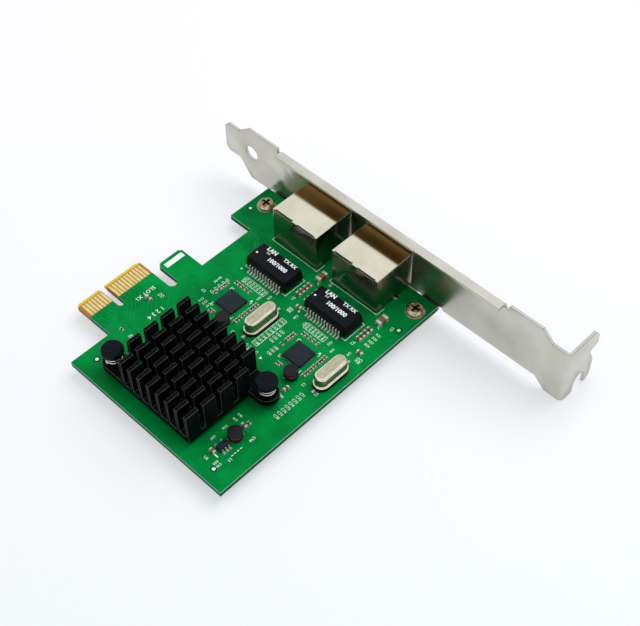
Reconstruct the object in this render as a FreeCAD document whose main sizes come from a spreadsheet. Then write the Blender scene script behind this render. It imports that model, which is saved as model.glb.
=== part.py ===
"""Two-port network interface card for a one-lane expansion slot.

Frame: the origin is the edge connector's datum, which is the middle of the key notch, at the tips of
the contacts, on the component face of the board. +X runs along the board away from the bracket, +Y
runs up from the edge connector towards the bracket's screw tab, and +Z leaves the component face.
All sizes are in millimetres and live in the spreadsheet "Sizes".
"""
import FreeCAD, Part
import os
import re
import Sketcher

os.makedirs("parts", exist_ok=True)
document = FreeCAD.newDocument("NetworkInterfaceCard")

# --------------------------------------------------------------------------------------------------
# Driving dimensions: alias, value, meaning
# --------------------------------------------------------------------------------------------------
SIZES = [
    ("board_thickness", 1.57, "circuit board, face to face"),
    ("board_height", 68.9, "contact tips to the board's top edge"),
    ("far_edge", 21.2, "key notch to the board's far edge"),
    ("shoulder_height", 13.8, "contact tips to the board's lower shoulder"),
    ("corner_cut", 0.8, "cut corners of the contact tongue and the hook"),
    ("key_width", 1.9, "key notch in the contact tongue"),
    ("key_depth", 8.9, "key notch, measured from the contact tips"),
    ("near_tongue", 11.65, "contact tongue between the key notch and the hook slot"),
    ("far_tongue", 7.65, "contact tongue beyond the key notch"),
    ("bevel_depth", 0.4, "lead-in bevel on the contact edge, into each face"),
    ("bevel_length", 1.2, "lead-in bevel on the contact edge, up each face"),
    ("hook_gap", 2.8, "slot between the contact tongue and the hook"),
    ("hook_width", 8.1, "retention hook along the board"),
    ("hook_tip", 5.0, "contact tips to the hook's lower edge"),
    ("foot_length", 14.6, "board foot beside the bracket, along the board"),
    ("foot_edge", 5.95, "contact tips to the foot's lower edge"),
    ("contact_pitch", 1.0, "edge contacts, centre to centre"),
    ("contact_offset", 1.5, "key notch centre to the first contact on each side"),
    ("contact_width", 0.7, "edge contact"),
    ("contact_length", 4.5, "edge contact"),
    ("contact_start", 1.4, "board edge to the contact's lower end"),
    ("plating_thickness", 0.05, "edge contact above the board face"),
    ("near_contacts", 11, "contacts on each face between the key notch and the hook"),
    ("far_contacts", 7, "contacts on each face beyond the key notch"),
    ("bracket_distance", 56.5, "key notch to the bracket's inner face"),
    ("bracket_gap", 0.5, "board edge to the bracket's inner face"),
    ("sheet_thickness", 0.86, "bracket sheet"),
    ("bend_radius", 0.4, "inside radius of the bracket's folds"),
    ("bracket_drop", 1.2, "component face down to the bracket's lower edge"),
    ("bracket_width", 18.42, "bracket between its long edges"),
    ("bracket_length", 120.02, "tongue tip to the top of the screw tab"),
    ("tongue_reach", 11.2, "contact tips down to the bracket tongue's tip"),
    ("tongue_rise", 4.0, "component face to the tongue's lower edge"),
    ("tongue_width", 10.19, "bracket tongue"),
    ("tongue_length", 5.7, "straight part of the bracket tongue"),
    ("tongue_corner", 1.3, "cut corners of the bracket tongue"),
    ("taper_length", 3.9, "run-out from the tongue to the full width"),
    ("finger_hole", 4.6, "round hole above the tongue"),
    ("finger_hole_height", 10.5, "tongue tip to the round hole"),
    ("finger_hole_rise", 8.7, "component face to the round hole"),
    ("seat_offset", 3.17, "sideways step of the bracket below its tab"),
    ("seat_length", 5.4, "stepped part of the bracket, up to the tab"),
    ("seat_slope", 3.3, "length of the sloping step"),
    ("tab_length", 11.43, "bracket's outer face to the tab's outer edge"),
    ("tab_corner", 1.8, "cut corner of the tab's horn along the tab"),
    ("tab_corner_drop", 2.5, "cut corner of the tab's horn across the tab"),
    ("slot_width", 4.42, "screw slot in the tab"),
    ("slot_centre", 5.9, "bracket's outer face to the screw slot"),
    ("slot_depth", 3.1, "tab's edge to the centre of the slot's round end"),
    ("lobe_reach", 10.7, "bracket's outer face to the edge of the lobe beside the slot"),
    ("lobe_radius", 2.0, "rounded corner of the lobe"),
    ("nick_depth", 2.8, "nick in the tab's outer edge"),
    ("nick_level", 11.6, "tab's slotted edge to the nick"),
    ("nick_slope", 4.6, "sloping side of the nick along the edge"),
    ("flange_start", 11.3, "contact tips to the stiffening flange"),
    ("flange_margin", 20.12, "stiffening flange, from its upper end to the tab"),
    ("flange_width", 3.3, "stiffening flange from the bracket's outer face"),
    ("relief_width", 1.3, "bend relief beside a fold"),
    ("relief_depth", 1.5, "bend relief below a fold's edge"),
    ("ear_width", 6.2, "mounting ear under the board"),
    ("ear_length", 9.4, "mounting ear from the bracket's outer face"),
    ("ear_radius", 1.4, "rounded corners of the mounting ear"),
    ("screw_setback", 5.7, "bracket's inner face to the board screws"),
    ("low_screw_height", 10.5, "contact tips to the lower board screw"),
    ("high_screw_height", 65.6, "contact tips to the upper board screw"),
    ("screw_diameter", 2.5, "board screw thread"),
    ("screw_clearance", 0.15, "gap around the board screw, on the radius"),
    ("screw_length", 3.4, "board screw under its head"),
    ("screw_head_diameter", 4.9, "board screw head"),
    ("screw_crown", 0.7, "sloping edge of the bracket screw's head"),
    ("screw_head_height", 1.5, "board screw head"),
    ("recess_width", 0.7, "arm of the screw's cross recess"),
    ("recess_span", 2.9, "cross recess from tip to tip"),
    ("recess_depth", 0.9, "cross recess"),
    ("port_height", 29.24, "contact tips to the middle of the lower port"),
    ("port_pitch", 21.56, "ports, centre to centre"),
    ("port_proud", 1.2, "port face beyond the bracket's outer face"),
    ("port_clearance", 0.2, "gap between a port and its window in the bracket"),
    ("jack_width", 16.0, "port shield outside"),
    ("jack_height", 12.3, "port shield above the board"),
    ("jack_depth", 15.16, "port shield, front to back"),
    ("shield_thickness", 0.25, "port shield sheet"),
    ("shield_radius", 0.4, "rounded top edges of the port shield"),
    ("slit_height", 0.35, "slits under the rear edge of the shield's top"),
    ("slit_length", 6.1, "one slit"),
    ("slit_spacing", 8.3, "the two slits, centre to centre"),
    ("leg_width", 1.5, "shield leg"),
    ("leg_setback", 7.6, "port face to the shield legs"),
    ("leg_clearance", 0.12, "gap around a shield leg in the board, on the radius"),
    ("tail_length", 1.3, "legs and pins below the board"),
    ("cavity_width", 11.7, "plug opening"),
    ("cavity_floor", 2.0, "board to the floor of the plug opening"),
    ("cavity_height", 6.7, "plug opening below the latch step"),
    ("cavity_depth", 11.9, "plug opening, front to back"),
    ("latch_width", 6.2, "latch step of the plug opening"),
    ("latch_height", 2.0, "latch step of the plug opening"),
    ("well_width", 8.8, "contact well in the plug opening's floor"),
    ("well_start", 1.2, "port face to the contact well"),
    ("well_roof", 1.5, "height of the contact well behind the opening"),
    ("peg_diameter", 3.2, "locating peg"),
    ("peg_spacing", 11.4, "locating pegs, centre to centre"),
    ("peg_setback", 4.6, "port face to the locating pegs"),
    ("peg_clearance", 0.05, "gap around a locating peg, on the radius"),
    ("peg_length", 1.4, "locating peg below the jack"),
    ("pin_pitch", 1.02, "jack contacts, centre to centre"),
    ("pin_count", 8, "jack contacts"),
    ("pin_width", 0.35, "jack contact across and through"),
    ("pin_run_height", 0.5, "board to the lying part of a jack contact"),
    ("pin_bend", 1.9, "port face to the fold of a jack contact"),
    ("pin_tip_height", 4.3, "board to the free end of a jack contact"),
    ("pin_tip_gap", 0.7, "free end of a jack contact to the opening's rear wall"),
    ("pin_row_setback", 11.0, "port face to the front row of contact tails"),
    ("pin_row_pitch", 2.54, "the two rows of contact tails"),
    ("pin_hole", 0.8, "plated hole for a contact tail"),
    ("solder_diameter", 1.5, "solder cone on the board's solder face"),
    ("solder_height", 0.8, "solder cone"),
    ("solder_tip", 0.56, "narrow end of a solder cone, across its flats"),
    ("lamp_width", 3.0, "status lamp window"),
    ("lamp_height", 1.9, "status lamp window"),
    ("lamp_spacing", 11.2, "status lamps, centre to centre"),
    ("lamp_drop", 1.2, "top of the shield down to a status lamp"),
    ("lamp_depth", 4.0, "status lamp behind the port face"),
    ("lamp_proud", 0.15, "status lamp lens before the port face"),
    ("lamp_clearance", 0.05, "gap around a status lamp"),
    ("magnetics_distance", 34.85, "key notch to the line transformers"),
    ("magnetics_shift", 0.76, "line transformer above the middle of its port"),
    ("magnetics_length", 14.8, "line transformer body along the leads"),
    ("magnetics_width", 6.9, "line transformer body between the leads"),
    ("magnetics_height", 4.3, "board to the top of the line transformer"),
    ("magnetics_parting", 1.9, "board to the transformer's parting line"),
    ("magnetics_standoff", 0.2, "board to the transformer's underside"),
    ("magnetics_draft", 8.0, "draft of the transformer's sides, in degrees"),
    ("magnetics_pitch", 1.0, "transformer leads, centre to centre"),
    ("magnetics_leads", 12, "transformer leads on each side"),
    ("lead_width", 0.42, "transformer lead"),
    ("lead_thickness", 0.2, "transformer lead"),
    ("lead_shoulder", 0.4, "flat part of a lead beside the transformer"),
    ("lead_drop", 0.15, "slope of a lead, outwards"),
    ("lead_foot", 0.75, "soldered foot of a lead"),
    ("channel_pitch", 24.9, "the two network controllers, centre to centre"),
    ("controller_distance", 19.9, "key notch to the controllers"),
    ("controller_height", 29.05, "contact tips to the lower controller"),
    ("controller_side", 6.0, "controller package"),
    ("controller_thickness", 0.8, "controller package"),
    ("land_thickness", 0.1, "soldered lands under a leadless package"),
    ("land_length", 0.6, "soldered land"),
    ("land_width", 0.22, "soldered land"),
    ("land_proud", 0.3, "soldered land beyond its package"),
    ("land_pitch", 0.4, "soldered lands, centre to centre"),
    ("land_count", 12, "soldered lands on each side of a controller"),
    ("paddle_side", 4.2, "thermal land under a controller"),
    ("crystal_distance", 20.6, "key notch to the crystals"),
    ("crystal_height", 39.5, "contact tips to the lower crystal"),
    ("crystal_can_length", 10.2, "crystal can"),
    ("crystal_can_width", 3.7, "crystal can"),
    ("crystal_rim", 0.4, "crystal can's rim, all round"),
    ("crystal_rim_thickness", 0.35, "crystal can's rim"),
    ("crystal_can_height", 3.4, "crystal can above its seat"),
    ("crystal_crown", 0.35, "sloping top edge of the crystal can"),
    ("crystal_seat_height", 0.8, "insulating seat under the crystal"),
    ("crystal_seat_margin", 0.15, "insulating seat beyond the can's rim"),
    ("crystal_lead_width", 0.7, "crystal lead"),
    ("crystal_lead_thickness", 0.2, "crystal lead"),
    ("crystal_lead_reach", 1.1, "crystal lead beyond the seat"),
    ("coil_distance", 14.0, "key notch to the controllers' inductors"),
    ("coil_height", 32.1, "contact tips to the lower inductor"),
    ("supply_shift", 3.2, "supply inductor, from the middle of the heatsink towards the far edge"),
    ("supply_gap", 3.6, "heatsink fins to the supply inductor"),
    ("coil_diameter", 3.9, "inductor flanges"),
    ("coil_post", 1.9, "inductor post"),
    ("coil_flange", 0.55, "inductor flange"),
    ("coil_window", 1.1, "winding space of an inductor"),
    ("coil_margin", 0.25, "winding inside the flange edge"),
    ("coil_land", 0.25, "terminals under an inductor"),
    ("coil_land_width", 1.1, "terminal under an inductor"),
    ("sink_distance", 4.8, "key notch to the heatsink's middle"),
    ("sink_height", 40.8, "contact tips to the heatsink's middle"),
    ("fin_rows", 9, "fins across the heatsink"),
    ("fin_pitch", 3.33, "fins, centre to centre"),
    ("fin_thickness", 1.05, "fin"),
    ("fin_blocks", 5, "blocks that each fin is cut into"),
    ("fin_length", 4.0, "one block of a fin"),
    ("fin_gap", 1.4, "cut between the blocks of a fin"),
    ("fin_height", 8.2, "fin above the heatsink's base"),
    ("sink_base", 2.0, "heatsink base"),
    ("pin_offset_along", 9.7, "heatsink's middle to a push pin, along the board"),
    ("pin_offset_up", 17.2, "heatsink's middle to a push pin, up the board"),
    ("ear_diameter", 6.2, "heatsink ear around a push pin"),
    ("push_pin_diameter", 2.9, "push pin shank"),
    ("push_pin_clearance", 0.1, "gap around a push pin, on the radius"),
    ("push_pin_head", 5.9, "push pin head"),
    ("push_pin_head_height", 1.5, "push pin head"),
    ("push_pin_crown", 0.4, "sloping edge of the push pin's head"),
    ("push_pin_barb", 3.9, "push pin barb below the board"),
    ("push_pin_tip", 1.9, "end of the push pin"),
    ("push_pin_tip_length", 2.9, "push pin below the board"),
    ("push_pin_split", 0.7, "slit through the push pin's barb"),
    ("spring_height", 3.3, "spring between the ear and the pin's head"),
    ("spring_wire", 0.5, "spring wire"),
    ("spring_diameter", 4.0, "spring, middle of wire to middle of wire"),
    ("spring_turns", 3.0, "turns of the spring"),
    ("bridge_side", 10.0, "bridge chip under the heatsink"),
    ("bridge_paddle_side", 7.0, "cooled chip: side of the thermal land"),
    ("bridge_thickness", 0.9, "bridge chip package"),
    ("bridge_land_pitch", 0.8, "bridge chip lands, centre to centre"),
    ("bridge_land_count", 10, "bridge chip lands on each side"),
    ("thermal_pad_side", 9.0, "thermal pad"),
    ("thermal_pad_thickness", 0.6, "thermal pad between chip and heatsink"),
    ("regulator_spacing", 4.0, "supply inductor to the voltage regulator, along the board"),
    ("regulator_drop", 0.2, "supply inductor to the voltage regulator, down the board"),
    ("regulator_length", 2.9, "voltage regulator along its leads"),
    ("regulator_width", 1.6, "voltage regulator between its leads"),
    ("regulator_top", 1.2, "board to the top of the voltage regulator"),
    ("regulator_standoff", 0.1, "board to the regulator's underside"),
    ("regulator_pitch", 0.95, "regulator leads, centre to centre"),
    ("regulator_lead", 0.4, "regulator lead"),
    ("surge_distance", 42.3, "key notch to the isolation capacitors"),
    ("surge_height", 40.2, "contact tips to the lower isolation capacitor"),
    ("surge_length", 3.2, "isolation capacitor"),
    ("surge_width", 1.7, "isolation capacitor"),
    ("surge_thickness", 1.2, "isolation capacitor"),
    ("cap_length", 1.6, "small capacitor"),
    ("cap_width", 0.8, "small capacitor"),
    ("cap_thickness", 0.8, "small capacitor"),
    ("chip_length", 1.0, "small resistor"),
    ("chip_width", 0.5, "small resistor"),
    ("chip_thickness", 0.35, "small resistor"),
    ("end_share", 0.25, "solderable end of a chip part, as a share of its length"),
]
# Two-terminal parts by size class: length, width and height, then for each one the feature it is
# placed from, how far along and up the board from there, and whether it is turned up the board
PASSIVES = [
    ("small_capacitors", "cap_length", "cap_width", "cap_thickness", [
        ("port", -3.25, 9.8, True),
        ("port", -1.9, 9.8, True),
        ("port", -0.5, 9.8, True),
        ("port", 0.8, 9.8, True),
        ("port", 3.95, 13.0, True),
        ("controller", 9.6, 5.05, False),
        ("supply", 6.6, -1.0, True),
        ("supply", -3.6, -0.75, True),
        ("board", -6.0, 12.3, True),
    ]),
    ("chip_capacitors", "chip_length", "chip_width", "chip_width", [
        ("controller", -4.15, 5.3, True),
        ("controller", -3.2, 5.3, True),
        ("controller", -1.4, 5.3, True),
        ("controller", -0.2, 5.3, True),
        ("controller", 0.7, 5.3, True),
        ("controller", 1.75, 5.3, True),
        ("controller", 3.75, 5.3, True),
        ("controller", -5.7, 0.9, False),
        ("controller", -5.7, -0.55, False),
        ("controller", -5.7, -1.9, False),
        ("controller", -5.7, -3.15, False),
        ("controller", -3.95, -5.7, True),
        ("controller", -2.15, -5.7, True),
        ("controller", -1.35, -5.7, True),
        ("controller", 5.4, -1.3, False),
        ("supply", -5.0, -0.5, True),
    ]),
    ("chip_resistors", "chip_length", "chip_width", "chip_thickness", [
        ("controller", -2.3, 5.3, True),
        ("controller", 2.75, 5.3, True),
        ("controller", -5.7, -4.15, False),
        ("controller", -3.05, -5.7, True),
        ("controller", 0.45, -5.7, True),
        ("controller", 5.4, -2.3, False),
        ("board", 5.5, 15.0, True),
    ]),
]
for group, _, _, _, places in PASSIVES:
    for number, (anchor, along, up, _) in enumerate(places, start=1):
        SIZES.append((f"{group}_{number}_along", along, f"{group}: number {number}, along from the {anchor}"))
        SIZES.append((f"{group}_{number}_up", up, f"{group}: number {number}, up from the {anchor}"))
ALIASES = {alias for alias, _, _ in SIZES}

sheet = document.addObject("Spreadsheet::Sheet", "Sizes")
for row, (alias, number, meaning) in enumerate(SIZES, start=1):
    sheet.set(f"A{row}", meaning)
    sheet.set(f"B{row}", str(number))
    sheet.setAlias(f"B{row}", alias)
document.recompute()

# Levels and places that several pieces share, worked out from the driving dimensions
SOLDER_FACE = "(0 - board_thickness)"
INNER_FACE = "(0 - bracket_distance)"
OUTER_FACE = "(0 - bracket_distance - sheet_thickness)"
NEAR_EDGE = "(bracket_gap - bracket_distance)"
TONGUE_NEAR = "(0 - key_width / 2 - near_tongue)"
TONGUE_FAR = "(key_width / 2 + far_tongue)"
HOOK_FAR = "(0 - key_width / 2 - near_tongue - hook_gap)"
HOOK_NEAR = "(0 - key_width / 2 - near_tongue - hook_gap - hook_width)"
BRACKET_LOW = "(0 - bracket_drop)"
BRACKET_HIGH = "(bracket_width - bracket_drop)"
BRACKET_TOP = "(bracket_length - tongue_reach)"
SEAT_LOW = "(0 - bracket_drop - seat_offset)"
SEAT_HIGH = "(bracket_width - bracket_drop - seat_offset)"
EAR_LOW = "(0 - board_thickness - sheet_thickness)"
SCREW_X = "(screw_setback - bracket_distance)"
PORT_FACE = "(0 - bracket_distance - sheet_thickness - port_proud)"
PORT_REAR = "(jack_depth - bracket_distance - sheet_thickness - port_proud)"
LAMP_RISE = "(jack_height - lamp_drop - lamp_height)"
SOLDER_SLOPE = "atan((solder_tip - solder_diameter * cos(22.5)) / (2 * solder_height))"
SINK_LOW = "(land_thickness + bridge_thickness + thermal_pad_thickness)"
SINK_DECK = "(land_thickness + bridge_thickness + thermal_pad_thickness + sink_base)"
SINK_LENGTH = "(fin_blocks * fin_length + (fin_blocks - 1) * fin_gap)"
SINK_WIDTH = "((fin_rows - 1) * fin_pitch + fin_thickness)"
HEAD_SEAT = "(land_thickness + bridge_thickness + thermal_pad_thickness + sink_base + spring_height)"
SUPPLY_X = "(sink_distance + supply_shift)"
SUPPLY_Y = f"(sink_height + {SINK_WIDTH} / 2 + supply_gap + coil_diameter / 2)"
REGULATOR_X = f"({SUPPLY_X} + regulator_spacing)"
REGULATOR_Y = f"({SUPPLY_Y} - regulator_drop)"
PIN_CORNERS = (("+", "-"), ("-", "+"))
WIRE_CORNERS = (30, 90, 150, 210, 270, 330)
ROUND_CORNERS = (22.5, 67.5, 112.5, 157.5, 202.5, 247.5, 292.5, 337.5)
PORTS = (0, 1)
CHANNELS = (0, 1)

TOUCH = 0.0001
nodes = []


# --------------------------------------------------------------------------------------------------
# Helpers
# --------------------------------------------------------------------------------------------------
def bound(text):
    """The expression with every size alias pointed at the spreadsheet."""
    return re.sub(r"[a-z][a-z0-9_]*", lambda word: "Sizes." + word.group() if word.group() in ALIASES
                  else word.group(), text)


def value(text):
    """The present value of a size expression."""
    return float(sheet.evalExpression(bound(text)))


def port_y(port):
    """Height of the middle of a port above the contact tips."""
    return f"(port_height + {port} * port_pitch)"


def make_body(name):
    body = document.addObject("PartDesign::Body", name)
    body.Label = name
    return body


def keep(piece, name):
    """Name a finished sub-part and put it on the list of files to write."""
    piece.Label = name
    nodes.append(piece)
    return piece


def place(piece, along="0", up="0", rise="0"):
    """Bind a sub-part's place to size expressions."""
    for axis, text in (("x", along), ("y", up), ("z", rise)):
        piece.setExpression("Placement.Base." + axis, bound(text))


def make_sketch(body, name, plane, level="0"):
    """A sketch on one of the body's own origin planes, moved along the plane's axis to a level."""
    sketch = body.newObject("Sketcher::SketchObject", name)
    origin_plane = next(item for item in body.Origin.OriginFeatures if item.Role == plane + "_Plane")
    sketch.AttachmentSupport = [(origin_plane, "")]
    sketch.MapMode = "FlatFace"
    sign = "0 - " if plane == "XZ" else ""
    sketch.setExpression("AttachmentOffset.Base.z", bound(sign + f"({level})"))
    return sketch


def drive(sketch, kind, text, *picks):
    """Add a dimension and bind it to a size expression."""
    index = sketch.addConstraint(Sketcher.Constraint(kind, *picks, value(text)))
    sketch.setExpression(f"Constraints[{index}]", bound(text))


def add_outline(sketch, corners):
    """A closed outline of straight lines through the corners."""
    first = sketch.GeometryCount
    count = len(corners)
    points = [FreeCAD.Vector(value(across), value(up), 0) for across, up in corners]
    for index in range(count):
        sketch.addGeometry(Part.LineSegment(points[index], points[(index + 1) % count]), False)
    for index in range(count):
        following = first + (index + 1) % count
        sketch.addConstraint(Sketcher.Constraint("Coincident", first + index, 2, following, 1))
    for index, (across, up) in enumerate(corners):
        drive(sketch, "DistanceX", across, -1, 1, first + index, 1)
        drive(sketch, "DistanceY", up, -1, 1, first + index, 1)
    return sketch


def add_box(sketch, left, right, low, high):
    """A closed rectangle between four levels."""
    return add_outline(sketch, [(left, low), (right, low), (right, high), (left, high)])


def add_circle(sketch, across, up, diameter):
    """A circle at a centre."""
    index = sketch.GeometryCount
    centre = FreeCAD.Vector(value(across), value(up), 0)
    circle = Part.Circle(centre, FreeCAD.Vector(0, 0, 1), value(diameter) / 2)
    sketch.addGeometry(circle, False)
    drive(sketch, "DistanceX", across, -1, 1, index, 3)
    drive(sketch, "DistanceY", up, -1, 1, index, 3)
    drive(sketch, "Diameter", diameter, index)
    return sketch


def add_octagon(sketch, across, up, diameter):
    """A small round drawn with eight straight sides."""
    return add_outline(sketch, [(f"{across} + {diameter} / 2 * cos({angle})", f"{up} + {diameter} / 2 * sin({angle})")
                                for angle in ROUND_CORNERS])


def add_slot(sketch, length, width):
    """A slot with round ends, centred on the sketch's origin and lying along its first axis."""
    first = sketch.GeometryCount
    radius = value(width) / 2
    reach = value(length) / 2 - radius
    normal = FreeCAD.Vector(0, 0, 1)
    quarter = 1.5707963
    right = Part.Circle(FreeCAD.Vector(reach, 0, 0), normal, radius)
    left = Part.Circle(FreeCAD.Vector(-reach, 0, 0), normal, radius)
    sketch.addGeometry(Part.ArcOfCircle(right, -quarter, quarter), False)
    sketch.addGeometry(Part.LineSegment(FreeCAD.Vector(reach, radius, 0),
                                        FreeCAD.Vector(-reach, radius, 0)), False)
    sketch.addGeometry(Part.ArcOfCircle(left, quarter, 3 * quarter), False)
    sketch.addGeometry(Part.LineSegment(FreeCAD.Vector(-reach, -radius, 0),
                                        FreeCAD.Vector(reach, -radius, 0)), False)
    for index in range(4):
        following = first + (index + 1) % 4
        sketch.addConstraint(Sketcher.Constraint("Tangent", first + index, 2, following, 1))
    sketch.addConstraint(Sketcher.Constraint("Equal", first, first + 2))
    half = f"(({length}) - ({width})) / 2"
    drive(sketch, "DistanceX", half, -1, 1, first, 3)
    drive(sketch, "DistanceY", "0", -1, 1, first, 3)
    drive(sketch, "DistanceX", "0 - " + half, -1, 1, first + 2, 3)
    drive(sketch, "DistanceY", "0", -1, 1, first + 2, 3)
    drive(sketch, "Radius", f"({width}) / 2", first)
    return sketch


def pad(body, sketch, length, towards=1, taper=None):
    """Add material from a sketch, towards the higher (1) or lower (-1) end of its axis."""
    before = body.Shape.Volume if body.Tip else 0
    feature = body.newObject("PartDesign::Pad", sketch.Name + "_pad")
    feature.Profile = sketch
    feature.setExpression("Length", bound(length))
    along_normal = -1 if sketch.AttachmentSupport[0][0].Role == "XZ_Plane" else 1
    feature.Reversed = towards != along_normal
    if taper:
        feature.setExpression("TaperAngle", bound(taper))
    document.recompute()
    if not feature.Shape.Volume > before:
        raise RuntimeError(feature.Name + " adds nothing")
    return feature


def cut(body, sketch, length, towards=1):
    """Remove material under a sketch, towards the higher (1) or lower (-1) end of its axis."""
    before = body.Shape.Volume
    feature = body.newObject("PartDesign::Pocket", sketch.Name + "_cut")
    feature.Profile = sketch
    feature.setExpression("Length", bound(length))
    against_normal = 1 if sketch.AttachmentSupport[0][0].Role == "XZ_Plane" else -1
    feature.Reversed = towards != against_normal
    document.recompute()
    if not feature.Shape.Volume < before:
        raise RuntimeError(feature.Name + " cuts nothing")
    return feature


def repeat(body, feature, axis, spacing, count):
    """Copy a feature along one of the body's own axes."""
    pattern = body.newObject("PartDesign::LinearPattern", feature.Name + "_row")
    pattern.Originals = [feature]
    direction = next(item for item in body.Origin.OriginFeatures if item.Role == axis + "_Axis")
    pattern.Direction = (direction, [""])
    pattern.Mode = "Spacing"
    pattern.setExpression("Offset", bound(spacing))
    pattern.setExpression("Occurrences", bound(count))
    body.Tip = pattern
    document.recompute()
    return pattern


def edges_at(shape, along=None, up=None, rise=None, length=None):
    """Names of the straight edges of a length whose two ends both lie at the given coordinates."""
    wanted = [(axis, value(text)) for axis, text in (("x", along), ("y", up), ("z", rise)) if text]
    names = []
    for number, edge in enumerate(shape.Edges, start=1):
        ends = [vertex.Point for vertex in edge.Vertexes]
        if length and abs(edge.Length - value(length)) > TOUCH:
            continue
        if len(ends) == 2 and all(abs(getattr(end, axis) - level) < TOUCH
                                  for end in ends for axis, level in wanted):
            names.append(f"Edge{number}")
    return names


def rims_at(shape, rise):
    """Names of all edges lying flat at a level."""
    level = value(rise)
    return [f"Edge{number}" for number, edge in enumerate(shape.Edges, start=1)
            if abs(edge.BoundBox.ZMin - level) < TOUCH and abs(edge.BoundBox.ZMax - level) < TOUCH]


def dress(body, names, size, kind="Fillet"):
    """Round (Fillet) or bevel (Chamfer) the named edges of the body's last feature."""
    base = body.Tip
    feature = body.newObject("PartDesign::" + kind, f"{body.Name}_dress_{len(body.Group)}")
    feature.Base = (base, sorted(set(names)))
    feature.setExpression("Radius" if kind == "Fillet" else "Size", bound(size))
    document.recompute()
    if feature.Shape.isNull() or not feature.Shape.isValid():
        raise RuntimeError(feature.Name + " cannot be made")
    return feature


def round_edges(body, radius, *places):
    """Round the straight edges found at each of the places."""
    shape = body.Tip.Shape
    return dress(body, [name for spot in places for name in edges_at(shape, **spot)], radius)


def make_box(name, start, size):
    """A block with its low corner and its three sizes bound to expressions."""
    block = document.addObject("Part::Box", name)
    for prop, text in zip(("Length", "Width", "Height"), size):
        block.setExpression(prop, bound(text))
    place(block, *start)
    return block


def make_group(name, members):
    """Several separate solids in one sub-part."""
    group = document.addObject("Part::Compound", name)
    group.Links = members
    document.recompute()
    return keep(group, name)


# --------------------------------------------------------------------------------------------------
# Circuit board and its contacts
# --------------------------------------------------------------------------------------------------
def make_circuit_board():
    """The bare board: contact tongue with its key, retention hook, bracket foot and every hole."""
    body = make_body("circuit_board")
    outline = add_outline(make_sketch(body, "board_outline", "XY"), [
        (NEAR_EDGE, "foot_edge"),
        (NEAR_EDGE + " + foot_length", "foot_edge"),
        (NEAR_EDGE + " + foot_length", "shoulder_height"),
        (HOOK_NEAR, "shoulder_height"),
        (HOOK_NEAR, "hook_tip + corner_cut"),
        (HOOK_NEAR + " + corner_cut", "hook_tip"),
        (HOOK_FAR + " - corner_cut", "hook_tip"),
        (HOOK_FAR, "hook_tip + corner_cut"),
        (HOOK_FAR, "shoulder_height - hook_gap / 2"),
        (TONGUE_NEAR, "shoulder_height - hook_gap / 2"),
        (TONGUE_NEAR, "corner_cut"),
        (TONGUE_NEAR + " + corner_cut", "0"),
        (TONGUE_FAR + " - corner_cut", "0"),
        (TONGUE_FAR, "corner_cut"),
        (TONGUE_FAR, "shoulder_height"),
        ("far_edge", "shoulder_height"),
        ("far_edge", "board_height"),
        (NEAR_EDGE, "board_height"),
    ])
    pad(body, outline, "board_thickness", -1)

    key_end = "key_depth - key_width / 2"
    key = add_box(make_sketch(body, "key", "XY"), "0 - key_width / 2", "key_width / 2", "0 - key_width", key_end)
    cut(body, key, "board_thickness", -1)
    key_round = add_circle(make_sketch(body, "key_round", "XY"), "0", key_end, "key_width")
    cut(body, key_round, "board_thickness", -1)
    hook_round = add_circle(make_sketch(body, "hook_round", "XY"), HOOK_FAR + " + hook_gap / 2",
                            "shoulder_height - hook_gap / 2", "hook_gap")
    cut(body, hook_round, "board_thickness", -1)

    screw_holes = make_sketch(body, "screw_holes", "XY")
    for height in ("low_screw_height", "high_screw_height"):
        add_circle(screw_holes, SCREW_X, height, "screw_diameter + 2 * screw_clearance")
    cut(body, screw_holes, "board_thickness", -1)

    push_pin_holes = make_sketch(body, "push_pin_holes", "XY")
    for along, up in PIN_CORNERS:
        add_circle(push_pin_holes, f"sink_distance {along} pin_offset_along",
                   f"sink_height {up} pin_offset_up", "push_pin_diameter + 2 * push_pin_clearance")
    cut(body, push_pin_holes, "board_thickness", -1)

    for port in PORTS:
        jack_holes = make_sketch(body, f"jack_holes_{port + 1}", "XY")
        for side in ("-", "+"):
            add_circle(jack_holes, PORT_FACE + " + peg_setback", port_y(port) + f" {side} peg_spacing / 2",
                       "peg_diameter + 2 * peg_clearance")
            add_circle(jack_holes, PORT_FACE + " + leg_setback",
                       port_y(port) + f" {side} (jack_width - shield_thickness) / 2",
                       "leg_width + 2 * leg_clearance")
        cut(body, jack_holes, "board_thickness", -1)
        for row in (0, 1):
            tail_hole = add_octagon(make_sketch(body, f"tail_hole_{port + 1}_{row + 1}", "XY"),
                                    PORT_FACE + f" + pin_row_setback + {row} * pin_row_pitch",
                                    port_y(port) + f" + ({row} - (pin_count - 1) / 2) * pin_pitch", "pin_hole")
            hole = cut(body, tail_hole, "board_thickness", -1)
            repeat(body, hole, "Y", "2 * pin_pitch", "pin_count / 2")

    bevels = make_sketch(body, "bevels", "YZ", TONGUE_NEAR)
    add_outline(bevels, [("0", "0"), ("bevel_length", "0"), ("0", "0 - bevel_depth")])
    add_outline(bevels, [("0", SOLDER_FACE), ("bevel_length", SOLDER_FACE), ("0", SOLDER_FACE + " + bevel_depth")])
    cut(body, bevels, "near_tongue + key_width + far_tongue")
    return keep(body, "circuit_board")


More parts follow.
